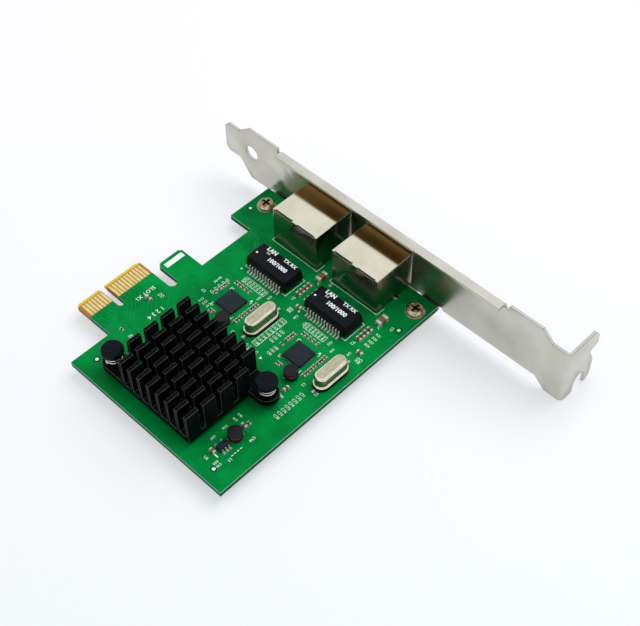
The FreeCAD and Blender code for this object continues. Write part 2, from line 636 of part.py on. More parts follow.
def make_edge_contacts():
    """Gold contacts on both faces, in two runs either side of the key notch."""
    body = make_body("edge_contacts")
    runs = (("near", "0 - contact_offset - (near_contacts - 1) * contact_pitch", "near_contacts"),
            ("far", "contact_offset", "far_contacts"))
    for face, level, towards in (("front", "0", 1), ("back", SOLDER_FACE, -1)):
        for run, start, count in runs:
            contact = add_box(make_sketch(body, f"{face}_{run}", "XY", level),
                              start + " - contact_width / 2", start + " + contact_width / 2",
                              "contact_start", "contact_start + contact_length")
            plate = pad(body, contact, "plating_thickness", towards)
            repeat(body, plate, "X", "contact_pitch", count)
    return keep(body, "edge_contacts")


# --------------------------------------------------------------------------------------------------
# Bracket and its screws
# --------------------------------------------------------------------------------------------------
def make_bracket():
    """One folded sheet: plate with its tongue, stiffening flange, slotted tab and two board ears."""
    body = make_body("bracket")
    foot = "0 - tongue_reach"
    step_start = BRACKET_TOP + " - seat_length - seat_slope"
    step_end = BRACKET_TOP + " - seat_length"
    flange_end = BRACKET_TOP + " - flange_margin"
    ear_heights = ("low_screw_height", "high_screw_height")

    corners = [
        (foot, "tongue_rise + tongue_corner"),
        (foot + " + tongue_corner", "tongue_rise"),
        (foot + " + tongue_length", "tongue_rise"),
        (foot + " + tongue_length + taper_length", BRACKET_LOW),
    ]
    for height in ear_heights:
        corners += [
            (height + " - ear_width / 2 - relief_width", BRACKET_LOW),
            (height + " - ear_width / 2 - relief_width", BRACKET_LOW + " + relief_depth / 2"),
            (height + " - ear_width / 2", BRACKET_LOW + " + relief_depth / 2"),
            (height + " - ear_width / 2", EAR_LOW),
            (height + " + ear_width / 2", EAR_LOW),
            (height + " + ear_width / 2", BRACKET_LOW + " + relief_depth / 2"),
            (height + " + ear_width / 2 + relief_width", BRACKET_LOW + " + relief_depth / 2"),
            (height + " + ear_width / 2 + relief_width", BRACKET_LOW),
        ]
    corners += [
        (step_start, BRACKET_LOW),
        (step_end, SEAT_LOW),
        (BRACKET_TOP, SEAT_LOW),
        (BRACKET_TOP, SEAT_HIGH),
        (step_end, SEAT_HIGH),
        (step_start, BRACKET_HIGH),
        (flange_end + " + relief_width", BRACKET_HIGH),
        (flange_end + " + relief_width", BRACKET_HIGH + " - relief_depth"),
        (flange_end, BRACKET_HIGH + " - relief_depth"),
        (flange_end, BRACKET_HIGH),
        ("flange_start", BRACKET_HIGH),
        ("flange_start", BRACKET_HIGH + " - relief_depth"),
        ("flange_start - relief_width", BRACKET_HIGH + " - relief_depth"),
        ("flange_start - relief_width", BRACKET_HIGH),
        (foot + " + tongue_length + taper_length", BRACKET_HIGH),
        (foot + " + tongue_length", "tongue_rise + tongue_width"),
        (foot + " + tongue_corner", "tongue_rise + tongue_width"),
        (foot, "tongue_rise + tongue_width - tongue_corner"),
    ]
    pad(body, add_outline(make_sketch(body, "plate", "YZ", OUTER_FACE), corners), "sheet_thickness")

    flange = add_box(make_sketch(body, "flange", "XY", BRACKET_HIGH), OUTER_FACE, OUTER_FACE + " + flange_width",
                     "flange_start", flange_end)
    pad(body, flange, "sheet_thickness", -1)

    for number, height in enumerate(ear_heights, start=1):
        ear = add_box(make_sketch(body, f"ear_{number}", "XY", EAR_LOW), OUTER_FACE, OUTER_FACE + " + ear_length",
                      height + " - ear_width / 2", height + " + ear_width / 2")
        pad(body, ear, "sheet_thickness")

    tab_edge = OUTER_FACE + " - tab_length"
    nick = SEAT_LOW + " + nick_level"
    tab = add_outline(make_sketch(body, "tab", "XZ", BRACKET_TOP), [
        (INNER_FACE, SEAT_LOW),
        (OUTER_FACE + " - lobe_reach", SEAT_LOW),
        (OUTER_FACE + " - lobe_reach", nick + " - nick_slope"),
        (OUTER_FACE + " - tab_length + nick_depth", nick),
        (tab_edge, nick + " + nick_depth / 2"),
        (tab_edge, SEAT_HIGH + " - tab_corner_drop"),
        (tab_edge + " + tab_corner", SEAT_HIGH),
        (INNER_FACE, SEAT_HIGH),
    ])
    pad(body, tab, "sheet_thickness", -1)

    round_edges(body, "lobe_radius", {"along": OUTER_FACE + " - lobe_reach", "rise": SEAT_LOW})
    round_edges(body, "ear_radius", *({"along": OUTER_FACE + " + ear_length", "up": height + side}
                                      for height in ear_heights for side in (" - ear_width / 2", " + ear_width / 2")))
    round_edges(body, "bend_radius + sheet_thickness",
                {"along": OUTER_FACE, "rise": BRACKET_HIGH, "length": flange_end + " - flange_start"},
                {"along": OUTER_FACE, "rise": EAR_LOW},
                {"along": INNER_FACE, "up": BRACKET_TOP})
    round_edges(body, "bend_radius",
                {"along": INNER_FACE, "rise": BRACKET_HIGH + " - sheet_thickness"},
                {"along": INNER_FACE, "rise": SOLDER_FACE},
                {"along": OUTER_FACE, "up": BRACKET_TOP + " - sheet_thickness"})

    slot_x = OUTER_FACE + " - slot_centre"
    slot = add_box(make_sketch(body, "screw_slot", "XZ", BRACKET_TOP), slot_x + " - slot_width / 2",
                   slot_x + " + slot_width / 2", SEAT_LOW + " - slot_width", SEAT_LOW + " + slot_depth")
    cut(body, slot, "sheet_thickness", -1)
    slot_round = add_circle(make_sketch(body, "screw_slot_round", "XZ", BRACKET_TOP), slot_x,
                            SEAT_LOW + " + slot_depth", "slot_width")
    cut(body, slot_round, "sheet_thickness", -1)

    windows = make_sketch(body, "port_windows", "YZ", OUTER_FACE)
    for port in PORTS:
        reach = "jack_width / 2 + port_clearance"
        add_box(windows, f"{port_y(port)} - ({reach})", f"{port_y(port)} + {reach}",
                "0 - port_clearance", "jack_height + port_clearance")
    cut(body, windows, "sheet_thickness")

    finger_hole = add_circle(make_sketch(body, "finger_hole_sketch", "YZ", OUTER_FACE),
                             foot + " + finger_hole_height", "finger_hole_rise", "finger_hole")
    cut(body, finger_hole, "sheet_thickness")

    ear_holes = make_sketch(body, "ear_holes", "XY", EAR_LOW)
    for height in ear_heights:
        add_circle(ear_holes, SCREW_X, height, "screw_diameter + screw_clearance")
    cut(body, ear_holes, "sheet_thickness")
    return keep(body, "bracket")


def make_bracket_screws():
    """Two pan-head screws with cross recesses, standing on the board."""
    screws = []
    for number, height in enumerate(("low_screw_height", "high_screw_height"), start=1):
        body = make_body(f"bracket_screw_{number}")
        pad(body, add_circle(make_sketch(body, f"shank_{number}", "XY"), "0", "0", "screw_diameter"),
            "screw_length", -1)
        pad(body, add_circle(make_sketch(body, f"head_{number}", "XY"), "0", "0", "screw_head_diameter"),
            "screw_head_height")
        dress(body, rims_at(body.Tip.Shape, "screw_head_height"), "screw_crown", "Chamfer")
        for arm, (across, up) in enumerate((("recess_span", "recess_width"), ("recess_width", "recess_span"))):
            recess = add_box(make_sketch(body, f"recess_{number}_{arm + 1}", "XY", "screw_head_height"),
                             f"0 - {across} / 2", f"{across} / 2", f"0 - {up} / 2", f"{up} / 2")
            cut(body, recess, "recess_depth", -1)
        place(body, SCREW_X, height)
        screws.append(body)
    return make_group("bracket_screws", screws)


# --------------------------------------------------------------------------------------------------
# Network ports
# --------------------------------------------------------------------------------------------------
def make_jack_shield(port):
    """Folded shield: top, sides and rear wall in one sheet, with two slits and two solder legs."""
    name = f"port_{port + 1}_shield"
    body = make_body(name)
    half = "jack_width / 2"
    inside = "(jack_width / 2 - shield_thickness)"
    roof = "(jack_height - shield_thickness)"
    wrap = add_outline(make_sketch(body, f"wrap_{port + 1}", "YZ", PORT_FACE), [
        ("0 - " + half, "0"), ("0 - " + inside, "0"), ("0 - " + inside, roof), (inside, roof),
        (inside, "0"), (half, "0"), (half, "jack_height"), ("0 - " + half, "jack_height")])
    pad(body, wrap, "jack_depth")
    rear = add_box(make_sketch(body, f"rear_{port + 1}", "YZ", PORT_REAR), "0 - " + half, half, "0", "jack_height")
    pad(body, rear, "shield_thickness", -1)
    for side, edge in (("low", "0 - " + inside), ("high", half)):
        leg = add_box(make_sketch(body, f"leg_{side}_{port + 1}", "XZ", edge),
                      PORT_FACE + " + leg_setback - leg_width / 2", PORT_FACE + " + leg_setback + leg_width / 2",
                      "0 - board_thickness - tail_length", "0")
        pad(body, leg, "shield_thickness", -1)
    round_edges(body, "shield_radius", {"up": "0 - " + half, "rise": "jack_height"},
                {"up": half, "rise": "jack_height"})
    slits = make_sketch(body, f"slits_{port + 1}", "YZ", PORT_REAR)
    for side in ("-", "+"):
        centre = f"0 {side} slit_spacing / 2"
        add_box(slits, centre + " - slit_length / 2", centre + " + slit_length / 2",
                roof + " - slit_height", roof)
    cut(body, slits, "shield_thickness", -1)
    place(body, up=port_y(port))
    return keep(body, name)


def make_jack_housing(port):
    """Moulded housing: stepped plug opening, contact well, lamp recesses and two locating pegs."""
    name = f"port_{port + 1}_housing"
    body = make_body(name)
    half = "(jack_width / 2 - shield_thickness)"
    block = add_box(make_sketch(body, f"block_{port + 1}", "YZ", PORT_FACE), "0 - " + half, half,
                    "0", "jack_height - shield_thickness")
    pad(body, block, "jack_depth - shield_thickness")

    step = "(cavity_floor + cavity_height)"
    opening = add_outline(make_sketch(body, f"opening_{port + 1}", "YZ", PORT_FACE), [
        ("0 - cavity_width / 2", "cavity_floor"), ("cavity_width / 2", "cavity_floor"),
        ("cavity_width / 2", step), ("latch_width / 2", step), ("latch_width / 2", step + " + latch_height"),
        ("0 - latch_width / 2", step + " + latch_height"), ("0 - latch_width / 2", step),
        ("0 - cavity_width / 2", step)])
    cut(body, opening, "cavity_depth")

    well_end = PORT_FACE + " + pin_row_setback + pin_row_pitch + pin_hole"
    well = add_outline(make_sketch(body, f"well_{port + 1}", "XZ", "well_width / 2"), [
        (PORT_FACE + " + well_start", "0"), (well_end, "0"), (well_end, "well_roof"),
        (PORT_FACE + " + cavity_depth", "well_roof"), (PORT_FACE + " + cavity_depth", "cavity_floor"),
        (PORT_FACE + " + well_start", "cavity_floor")])
    cut(body, well, "well_width", -1)

    recesses = make_sketch(body, f"lamp_recesses_{port + 1}", "YZ", PORT_FACE)
    for side in ("-", "+"):
        centre = f"0 {side} lamp_spacing / 2"
        reach = "(lamp_width / 2 + lamp_clearance)"
        add_box(recesses, f"{centre} - {reach}", f"{centre} + {reach}", LAMP_RISE + " - lamp_clearance",
                LAMP_RISE + " + lamp_height + lamp_clearance")
    cut(body, recesses, "lamp_depth")

    pegs = make_sketch(body, f"pegs_{port + 1}", "XY")
    for side in ("-", "+"):
        add_circle(pegs, PORT_FACE + " + peg_setback", f"0 {side} peg_spacing / 2", "peg_diameter")
    pad(body, pegs, "peg_length", -1)
    place(body, up=port_y(port))
    return keep(body, name)


def make_jack_contacts(port):
    """Eight sprung wires: tail through the board, run along the floor, fold back into the opening."""
    name = f"port_{port + 1}_contacts"
    body = make_body(name)
    bend = PORT_FACE + " + pin_bend"
    tip = PORT_FACE + " + cavity_depth - pin_tip_gap"
    run_top = "(pin_run_height + pin_width)"
    for row in (0, 1):
        tail = PORT_FACE + f" + pin_row_setback + {row} * pin_row_pitch"
        start = f"({row} - (pin_count - 1) / 2) * pin_pitch - pin_width / 2"
        wire = add_outline(make_sketch(body, f"wire_{port + 1}_{row + 1}", "XZ", start), [
            (tail + " + pin_width / 2", "0 - board_thickness - tail_length"),
            (tail + " + pin_width / 2", run_top),
            (bend + " + 2 * pin_width", run_top),
            (tip, "pin_tip_height"),
            (tip + " - pin_width / 2", "pin_tip_height + pin_width"),
            (bend, run_top + " + pin_width"),
            (bend + " - pin_width", run_top),
            (bend, "pin_run_height"),
            (tail + " - pin_width / 2", "pin_run_height"),
            (tail + " - pin_width / 2", "0 - board_thickness - tail_length")])
        spring = pad(body, wire, "pin_width")
        repeat(body, spring, "Y", "2 * pin_pitch", "pin_count / 2")
    place(body, up=port_y(port))
    return keep(body, name)


def make_status_lamp(port, name, side):
    """One lamp block behind its window beside the latch step."""
    lamp = make_box(f"port_{port + 1}_{name}",
                    (PORT_FACE + " - lamp_proud", f"{port_y(port)} {side} lamp_spacing / 2 - lamp_width / 2",
                     LAMP_RISE),
                    ("lamp_depth + lamp_proud", "lamp_width", "lamp_height"))
    return keep(lamp, f"port_{port + 1}_{name}")


def make_port_solder():
    """Solder cones round every leg and tail on the solder face."""
    cones = []
    for port in PORTS:
        spots = [(PORT_FACE + f" + pin_row_setback + {row} * pin_row_pitch",
                  f"{port_y(port)} + ({row} + 2 * {step} - (pin_count - 1) / 2) * pin_pitch")
                 for row in (0, 1) for step in range(round(value("pin_count") / 2))]
        for number, (along, up) in enumerate(spots, start=1):
            label = f"{port + 1}_{number}"
            body = make_body("solder_" + label)
            foot = add_octagon(make_sketch(body, "solder_foot_" + label, "XY"), "0", "0", "solder_diameter")
            pad(body, foot, "solder_height", -1, SOLDER_SLOPE)
            bore = add_box(make_sketch(body, "solder_bore_" + label, "XY"), "0 - pin_width / 2", "pin_width / 2",
                           "0 - pin_width / 2", "pin_width / 2")
            cut(body, bore, "solder_height", -1)
            place(body, along, up, SOLDER_FACE)
            cones.append(body)
    return make_group("port_solder", cones)


# --------------------------------------------------------------------------------------------------
# Line transformers
# --------------------------------------------------------------------------------------------------
def transformer_y(port):
    return f"({port_y(port)} + magnetics_shift)"


def make_transformer(port):
    """Moulded block, drafted both ways from its parting line."""
    name = f"port_{port + 1}_transformer"
    body = make_body(name)
    for half, rise, towards in (("upper", "magnetics_height - magnetics_parting", 1),
                                ("lower", "magnetics_parting - magnetics_standoff", -1)):
        footprint = add_box(make_sketch(body, f"transformer_{half}_{port + 1}", "XY", "magnetics_parting"),
                            "0 - magnetics_width / 2", "magnetics_width / 2",
                            "0 - magnetics_length / 2", "magnetics_length / 2")
        pad(body, footprint, rise, towards, "0 - magnetics_draft")
    place(body, "0 - magnetics_distance", transformer_y(port))
    return keep(body, name)


def make_gull_leads(name, half_width, parting, width, foot, sides):
    """Rows of gull-wing leads; each side is a sign, the place of its first lead, a spacing and a count."""
    body = make_body(name)
    shoulder = "lead_shoulder"
    drop = "lead_drop"
    thickness = "lead_thickness"
    for number, (sign, start, spacing, count) in enumerate(sides, start=1):
        def across(text):
            return f"0 {sign} ({half_width} + {text})"
        profile = add_outline(make_sketch(body, f"{name}_profile_{number}", "XZ", f"{start} - {width} / 2"), [
            (across("0"), f"{parting} + {thickness} / 2"),
            (across(f"{shoulder}"), f"{parting} + {thickness} / 2"),
            (across(f"{shoulder} + {drop}"), thickness),
            (across(f"{shoulder} + {drop} + {foot}"), thickness),
            (across(f"{shoulder} + {drop} + {foot}"), "0"),
            (across(f"{shoulder} + {drop} - {thickness}"), "0"),
            (across(f"{shoulder} - {thickness}"), f"{parting} - {thickness} / 2"),
            (across("0"), f"{parting} - {thickness} / 2")])
        lead = pad(body, profile, width)
        repeat(body, lead, "Y", spacing, count)
    return body


def make_transformer_leads(port):
    name = f"port_{port + 1}_transformer_leads"
    start = "(0 - (magnetics_leads - 1) * magnetics_pitch / 2)"
    body = make_gull_leads(name, "magnetics_width / 2", "magnetics_parting", "lead_width", "lead_foot",
                           [(sign, start, "magnetics_pitch", "magnetics_leads") for sign in ("+", "-")])
    place(body, "0 - magnetics_distance", transformer_y(port))
    return keep(body, name)


# --------------------------------------------------------------------------------------------------
# Leadless packages, crystals and inductors
# --------------------------------------------------------------------------------------------------
def controller_y(channel):
    return f"(controller_height + {channel} * channel_pitch)"


def make_lands(name, side, count, pitch, paddle):
    """Soldered lands round the four sides of a leadless package, with its thermal land."""
    body = make_body(name)
    edge = f"({side} / 2 + land_proud)"
    first = f"(0 - ({count} - 1) * {pitch} / 2)"
    for axis in ("X", "Y"):
        for sign, label in (("-", "low"), ("+", "high")):
            span = (f"0 {sign} {edge}", f"0 {sign} ({edge} - land_length)")
            outer, inner = span if sign == "-" else (span[1], span[0])
            row = (first + " - land_width / 2", first + " + land_width / 2")
            limits = (*row, outer, inner) if axis == "X" else (outer, inner, *row)
            land = pad(body, add_box(make_sketch(body, f"{name}_{axis.lower()}_{label}", "XY"), *limits),
                       "land_thickness")
            repeat(body, land, axis, pitch, count)
    square = add_box(make_sketch(body, f"{name}_paddle", "XY"), f"0 - {paddle} / 2", f"{paddle} / 2",
                     f"0 - {paddle} / 2", f"{paddle} / 2")
    pad(body, square, "land_thickness")
    return body


def make_controller(channel):
    name = f"controller_{channel + 1}"
    chip = make_box(name, ("0 - controller_distance - controller_side / 2",
                           controller_y(channel) + " - controller_side / 2", "land_thickness"),
                    ("controller_side", "controller_side", "controller_thickness"))
    return keep(chip, name)


def make_controller_lands(channel):
    name = f"controller_{channel + 1}_lands"
    body = make_lands(name, "controller_side", "land_count", "land_pitch", "paddle_side")
    place(body, "0 - controller_distance", controller_y(channel))
    return keep(body, name)


def crystal_y(channel):
    return f"(crystal_height + {channel} * channel_pitch)"


def make_crystal_can(channel):
    """Drawn can with round ends, a rim all round its foot and a sloping crown."""
    name = f"crystal_{channel + 1}_can"
    body = make_body(name)
    rim = add_slot(make_sketch(body, f"rim_{channel + 1}", "XY"), "crystal_can_length + 2 * crystal_rim",
                   "crystal_can_width + 2 * crystal_rim")
    pad(body, rim, "crystal_rim_thickness")
    can = add_slot(make_sketch(body, f"can_{channel + 1}", "XY"), "crystal_can_length", "crystal_can_width")
    pad(body, can, "crystal_can_height")
    dress(body, rims_at(body.Tip.Shape, "crystal_can_height"), "crystal_crown", "Chamfer")
    place(body, "0 - crystal_distance", crystal_y(channel), "crystal_seat_height")
    return keep(body, name)


def make_crystal_seat(channel):
    """Insulating plate under the can, grooved at each end for the leads."""
    name = f"crystal_{channel + 1}_seat"
    body = make_body(name)
    half_length = "(crystal_can_length / 2 + crystal_rim + crystal_seat_margin)"
    half_width = "(crystal_can_width / 2 + crystal_rim + crystal_seat_margin)"
    plate = add_box(make_sketch(body, f"seat_{channel + 1}", "XY"), "0 - " + half_length, half_length,
                    "0 - " + half_width, half_width)
    pad(body, plate, "crystal_seat_height")
    for label, left, right in (("near", "0 - " + half_length, "0 - " + half_length + " + crystal_lead_reach"),
                               ("far", half_length + " - crystal_lead_reach", half_length)):
        groove = add_box(make_sketch(body, f"groove_{label}_{channel + 1}", "XY"), left, right,
                         "0 - crystal_lead_width / 2", "crystal_lead_width / 2")
        cut(body, groove, "crystal_lead_thickness")
    place(body, "0 - crystal_distance", crystal_y(channel))
    return keep(body, name)


def make_crystal_leads(channel):
    """Two flat leads lying on the board, one out of each end of the seat."""
    half_length = "(crystal_can_length / 2 + crystal_rim + crystal_seat_margin)"
    leads = []
    for label, start in (("near", f"0 - crystal_distance - {half_length} - crystal_lead_reach"),
                         ("far", f"0 - crystal_distance + {half_length} - crystal_lead_reach")):
        leads.append(make_box(f"crystal_{channel + 1}_lead_{label}",
                              (start, crystal_y(channel) + " - crystal_lead_width / 2", "0"),
                              ("2 * crystal_lead_reach", "crystal_lead_width", "crystal_lead_thickness")))
    return make_group(f"crystal_{channel + 1}_leads", leads)


COILS = (("controller_1_inductor", "coil_distance * (0 - 1)", "coil_height"),
         ("controller_2_inductor", "coil_distance * (0 - 1)", "(coil_height + channel_pitch)"),
         ("supply_inductor", SUPPLY_X, SUPPLY_Y))


def make_inductor(name, along, up):
    """Drum core, copper winding and two terminal plates: three sub-parts."""
    core = make_body(name + "_core")
    level = "coil_land"
    for part, diameter, height in (("foot", "coil_diameter", "coil_flange"), ("post", "coil_post", "coil_window"),
                                   ("cap", "coil_diameter", "coil_flange")):
        pad(core, add_circle(make_sketch(core, f"{name}_{part}", "XY", level), "0", "0", diameter), height)
        level += " + " + height
    place(core, along, up)
    keep(core, name + "_core")

    winding = make_body(name + "_winding")
    ring = make_sketch(winding, name + "_ring", "XY", "coil_land + coil_flange")
    add_circle(ring, "0", "0", "coil_diameter - 2 * coil_margin")
    add_circle(ring, "0", "0", "coil_post")
    pad(winding, ring, "coil_window")
    place(winding, along, up)
    keep(winding, name + "_winding")

    lands = []
    for label, sign in (("near", "-"), ("far", "+")):
        centre = f"{along} {sign} (coil_diameter - coil_land_width) / 2"
        lands.append(make_box(f"{name}_{label}_terminal",
                              (f"{centre} - coil_land_width / 2", f"{up} - coil_post / 2", "0"),
                              ("coil_land_width", "coil_post", "coil_land")))
    return make_group(name + "_terminals", lands)


# --------------------------------------------------------------------------------------------------
# Cooled chip
# --------------------------------------------------------------------------------------------------
def make_bridge_chip():
    chip = make_box("bridge_chip", ("sink_distance - bridge_side / 2", "sink_height - bridge_side / 2",
                                    "land_thickness"),
                    ("bridge_side", "bridge_side", "bridge_thickness"))
    return keep(chip, "bridge_chip")


def make_bridge_chip_lands():
    body = make_lands("bridge_chip_lands", "bridge_side", "bridge_land_count", "bridge_land_pitch",
                      "bridge_paddle_side")
    place(body, "sink_distance", "sink_height")
    return keep(body, "bridge_chip_lands")


def make_thermal_pad():
    gap_filler = make_box("thermal_pad", ("sink_distance - thermal_pad_side / 2",
                                          "sink_height - thermal_pad_side / 2",
                                          "land_thickness + bridge_thickness"),
                          ("thermal_pad_side", "thermal_pad_side", "thermal_pad_thickness"))
    return keep(gap_filler, "thermal_pad")


def make_heatsink():
    """Base with two fixing ears on opposite corners, and rows of short blades standing on it."""
    body = make_body("heatsink")
    half_length = f"({SINK_LENGTH} / 2)"
    half_width = f"({SINK_WIDTH} / 2)"
    base = add_box(make_sketch(body, "sink_base_outline", "XY", SINK_LOW), "0 - " + half_length, half_length,
                   "0 - " + half_width, half_width)
    pad(body, base, "sink_base")
    for number, (along, up) in enumerate(PIN_CORNERS, start=1):
        centre = f"0 {along} pin_offset_along"
        outer = f"0 {up} pin_offset_up"
        inner = f"0 {up} ({half_width} - fin_thickness)"
        low, high = (outer, inner) if up == "-" else (inner, outer)
        neck = add_box(make_sketch(body, f"ear_neck_{number}", "XY", SINK_LOW), centre + " - ear_diameter / 2",
                       centre + " + ear_diameter / 2", low, high)
        pad(body, neck, "sink_base")
        pad(body, add_circle(make_sketch(body, f"ear_end_{number}", "XY", SINK_LOW), centre, outer,
                             "ear_diameter"), "sink_base")
        cut(body, add_circle(make_sketch(body, f"ear_hole_{number}", "XY", SINK_LOW), centre, outer,
                             "push_pin_diameter + 2 * push_pin_clearance"), "sink_base")

    fins = add_box(make_sketch(body, "fin_field", "XY", SINK_DECK), "0 - " + half_length, half_length,
                   "0 - " + half_width, half_width)
    pad(body, fins, "fin_height")
    channel = add_box(make_sketch(body, "channel", "XY", SINK_DECK), "0 - " + half_length, half_length,
                      f"0 - {half_width} + fin_thickness", f"0 - {half_width} + fin_pitch")
    repeat(body, cut(body, channel, "fin_height"), "Y", "fin_pitch", "fin_rows - 1")
    gap = add_box(make_sketch(body, "gap", "XY", SINK_DECK), f"0 - {half_length} + fin_length",
                  f"0 - {half_length} + fin_length + fin_gap", "0 - " + half_width, half_width)
    repeat(body, cut(body, gap, "fin_height"), "X", "fin_length + fin_gap", "fin_blocks - 1")
    corners = make_sketch(body, "cleared_corners", "XY", SINK_DECK)
    add_box(corners, half_length + " - fin_length", half_length,
            "0 - " + half_width, f"0 - {half_width} + fin_thickness")
    add_box(corners, "0 - " + half_length, f"0 - {half_length} + fin_length",
            half_width + " - fin_thickness", half_width)
    cut(body, corners, "fin_height")
    place(body, "sink_distance", "sink_height")
    return keep(body, "heatsink")


def make_push_pins():
    """Two sprung push pins: domed head, shank and a split barb that grips the solder face."""
    pins = []
    tip = SOLDER_FACE + " - push_pin_tip_length"
    top = HEAD_SEAT + " + push_pin_head_height"
    for number, (along, up) in enumerate(PIN_CORNERS, start=1):
        body = make_body(f"push_pin_{number}")
        profile = add_outline(make_sketch(body, f"pin_profile_{number}", "XZ"), [
            ("0", tip), ("push_pin_tip / 2", tip), ("push_pin_barb / 2", SOLDER_FACE),
            ("push_pin_diameter / 2", SOLDER_FACE), ("push_pin_diameter / 2", HEAD_SEAT),
            ("push_pin_head / 2", HEAD_SEAT), ("push_pin_head / 2", top), ("0", top)])
        turned = body.newObject("PartDesign::Revolution", f"pin_turned_{number}")
        turned.Profile = profile
        turned.ReferenceAxis = (profile, ["V_Axis"])
        document.recompute()
        dress(body, rims_at(body.Tip.Shape, top), "push_pin_crown", "Chamfer")
        split = add_box(make_sketch(body, f"pin_split_{number}", "XY", tip), "0 - push_pin_barb / 2",
                        "push_pin_barb / 2", "0 - push_pin_split / 2", "push_pin_split / 2")
        cut(body, split, "push_pin_tip_length + board_thickness")
        place(body, f"sink_distance {along} pin_offset_along", f"sink_height {up} pin_offset_up")
        pins.append(body)
    return make_group("push_pins", pins)


def make_pin_springs():
    """Coil springs round the push pins, between the heatsink ears and the pin heads."""
    springs = []
    for number, (along, up) in enumerate(PIN_CORNERS, start=1):
        body = make_body(f"pin_spring_{number}")
        wire = add_outline(make_sketch(body, f"spring_wire_{number}", "XZ"), [
            (f"spring_diameter / 2 + spring_wire / 2 * cos({angle})",
             f"{SINK_DECK} + spring_wire / 2 + spring_wire / 2 * sin({angle})") for angle in WIRE_CORNERS])
        coil = body.newObject("PartDesign::AdditiveHelix", f"spring_coil_{number}")
        coil.Profile = wire
        coil.ReferenceAxis = (wire, ["V_Axis"])
        coil.Mode = "height-turns-angle"
        coil.setExpression("Height", bound("spring_height - spring_wire"))
        coil.setExpression("Turns", bound("spring_turns"))
        document.recompute()
        place(body, f"sink_distance {along} pin_offset_along", f"sink_height {up} pin_offset_up")
        springs.append(body)
    return make_group("pin_springs", springs)


# --------------------------------------------------------------------------------------------------
# Small parts
# --------------------------------------------------------------------------------------------------
def make_voltage_regulator():
    package = make_box("voltage_regulator",
                       (REGULATOR_X + " - regulator_length / 2", REGULATOR_Y + " - regulator_width / 2",
                        "regulator_standoff"),
                       ("regulator_length", "regulator_width", "regulator_top - regulator_standoff"))
    return keep(package, "voltage_regulator")


def make_voltage_regulator_leads():
    """Three leads on one long side and two on the other."""
    body = make_gull_leads("voltage_regulator_leads", "regulator_width / 2", "regulator_top / 2",
                           "regulator_lead", "lead_foot / 2",
                           [("+", "(0 - regulator_pitch)", "regulator_pitch", "3"),
                            ("-", "(0 - regulator_pitch)", "2 * regulator_pitch", "2")])
    body.Placement = FreeCAD.Placement(FreeCAD.Vector(), FreeCAD.Rotation(FreeCAD.Vector(0, 0, 1), 90))
    place(body, REGULATOR_X, REGULATOR_Y)
    return keep(body, "voltage_regulator_leads")


def make_chip_parts(name, length, width, thickness, spots):
    """Leadless two-terminal parts: one sub-part of bodies and one of metallised ends."""
    middles = []
    ends = []
    for number, (along, up, turned) in enumerate(spots, start=1):
        inner = f"({length}) * (1 - 2 * end_share)"
        pieces = (("middle", f"0 - {inner} / 2", inner, middles),
                  ("near_end", f"0 - {length} / 2", f"({length}) * end_share", ends),
                  ("far_end", f"{inner} / 2", f"({length}) * end_share", ends))
        for label, start, reach, members in pieces:
            if turned:
                corner = (f"{along} - {width} / 2", f"{up} + {start}", "0")
                size = (width, reach, thickness)
            else:
                corner = (f"{along} + {start}", f"{up} - {width} / 2", "0")
                size = (reach, width, thickness)
            members.append(make_box(f"{name}_{label}_{number}", corner, size))
    make_group(name, middles)
    make_group(name + "_ends", ends)


# --------------------------------------------------------------------------------------------------
# The whole card
# --------------------------------------------------------------------------------------------------
def make_card():
    make_circuit_board()
    make_edge_contacts()
    make_bracket()
    make_bracket_screws()
    for port in PORTS:
        make_jack_shield(port)
        make_jack_housing(port)
        make_jack_contacts(port)
        make_status_lamp(port, "link_lamp", "-")
        make_status_lamp(port, "activity_lamp", "+")
        make_transformer(port)
        make_transformer_leads(port)
    make_port_solder()
    for channel in CHANNELS:
        make_controller(channel)
        make_controller_lands(channel)
        make_crystal_can(channel)
        make_crystal_seat(channel)
        make_crystal_leads(channel)
    for name, along, up in COILS:
        make_inductor(name, along, up)
    make_bridge_chip()
    make_bridge_chip_lands()
    make_thermal_pad()
    make_heatsink()
    make_push_pins()
    make_pin_springs()
    make_voltage_regulator()
    make_voltage_regulator_leads()
    make_chip_parts("isolation_capacitors", "surge_length", "surge_width", "surge_thickness",
                    [("(0 - surge_distance)", f"(surge_height + {port} * port_pitch)", False) for port in PORTS])
    anchors = {
        "board": [("0", "0")],
        "port": [("(0 - magnetics_distance)", transformer_y(port)) for port in PORTS],
        "controller": [("(0 - controller_distance)", controller_y(channel)) for channel in CHANNELS],
        "supply": [(SUPPLY_X, SUPPLY_Y)],
    }
    for name, length, width, thickness, places in PASSIVES:
        spots = [(f"({along} + {name}_{number}_along)", f"({up} + {name}_{number}_up)", turned)
                 for number, (anchor, _, _, turned) in enumerate(places, start=1)
                 for along, up in anchors[anchor]]
        make_chip_parts(name, length, width, thickness, spots)


make_card()
document.recompute()
for item in document.Objects:
    if {"Invalid", "Error"} & set(item.State):
        raise RuntimeError(f"{item.Name} is {item.State}")
for node in nodes:
    if node.Shape.isNull() or not node.Shape.isValid() or not node.Shape.Solids:
        raise RuntimeError(f"{node.Label} has no valid solid")
    node.Shape.exportStep(os.path.join("parts", node.Label + ".step"))
    box = node.Shape.BoundBox
    print(f"{node.Label:34s} {len(node.Shape.Solids):3d} solids  x {box.XMin:8.2f} {box.XMax:8.2f}"
          f"  y {box.YMin:8.2f} {box.YMax:8.2f}  z {box.ZMin:7.2f} {box.ZMax:7.2f}")
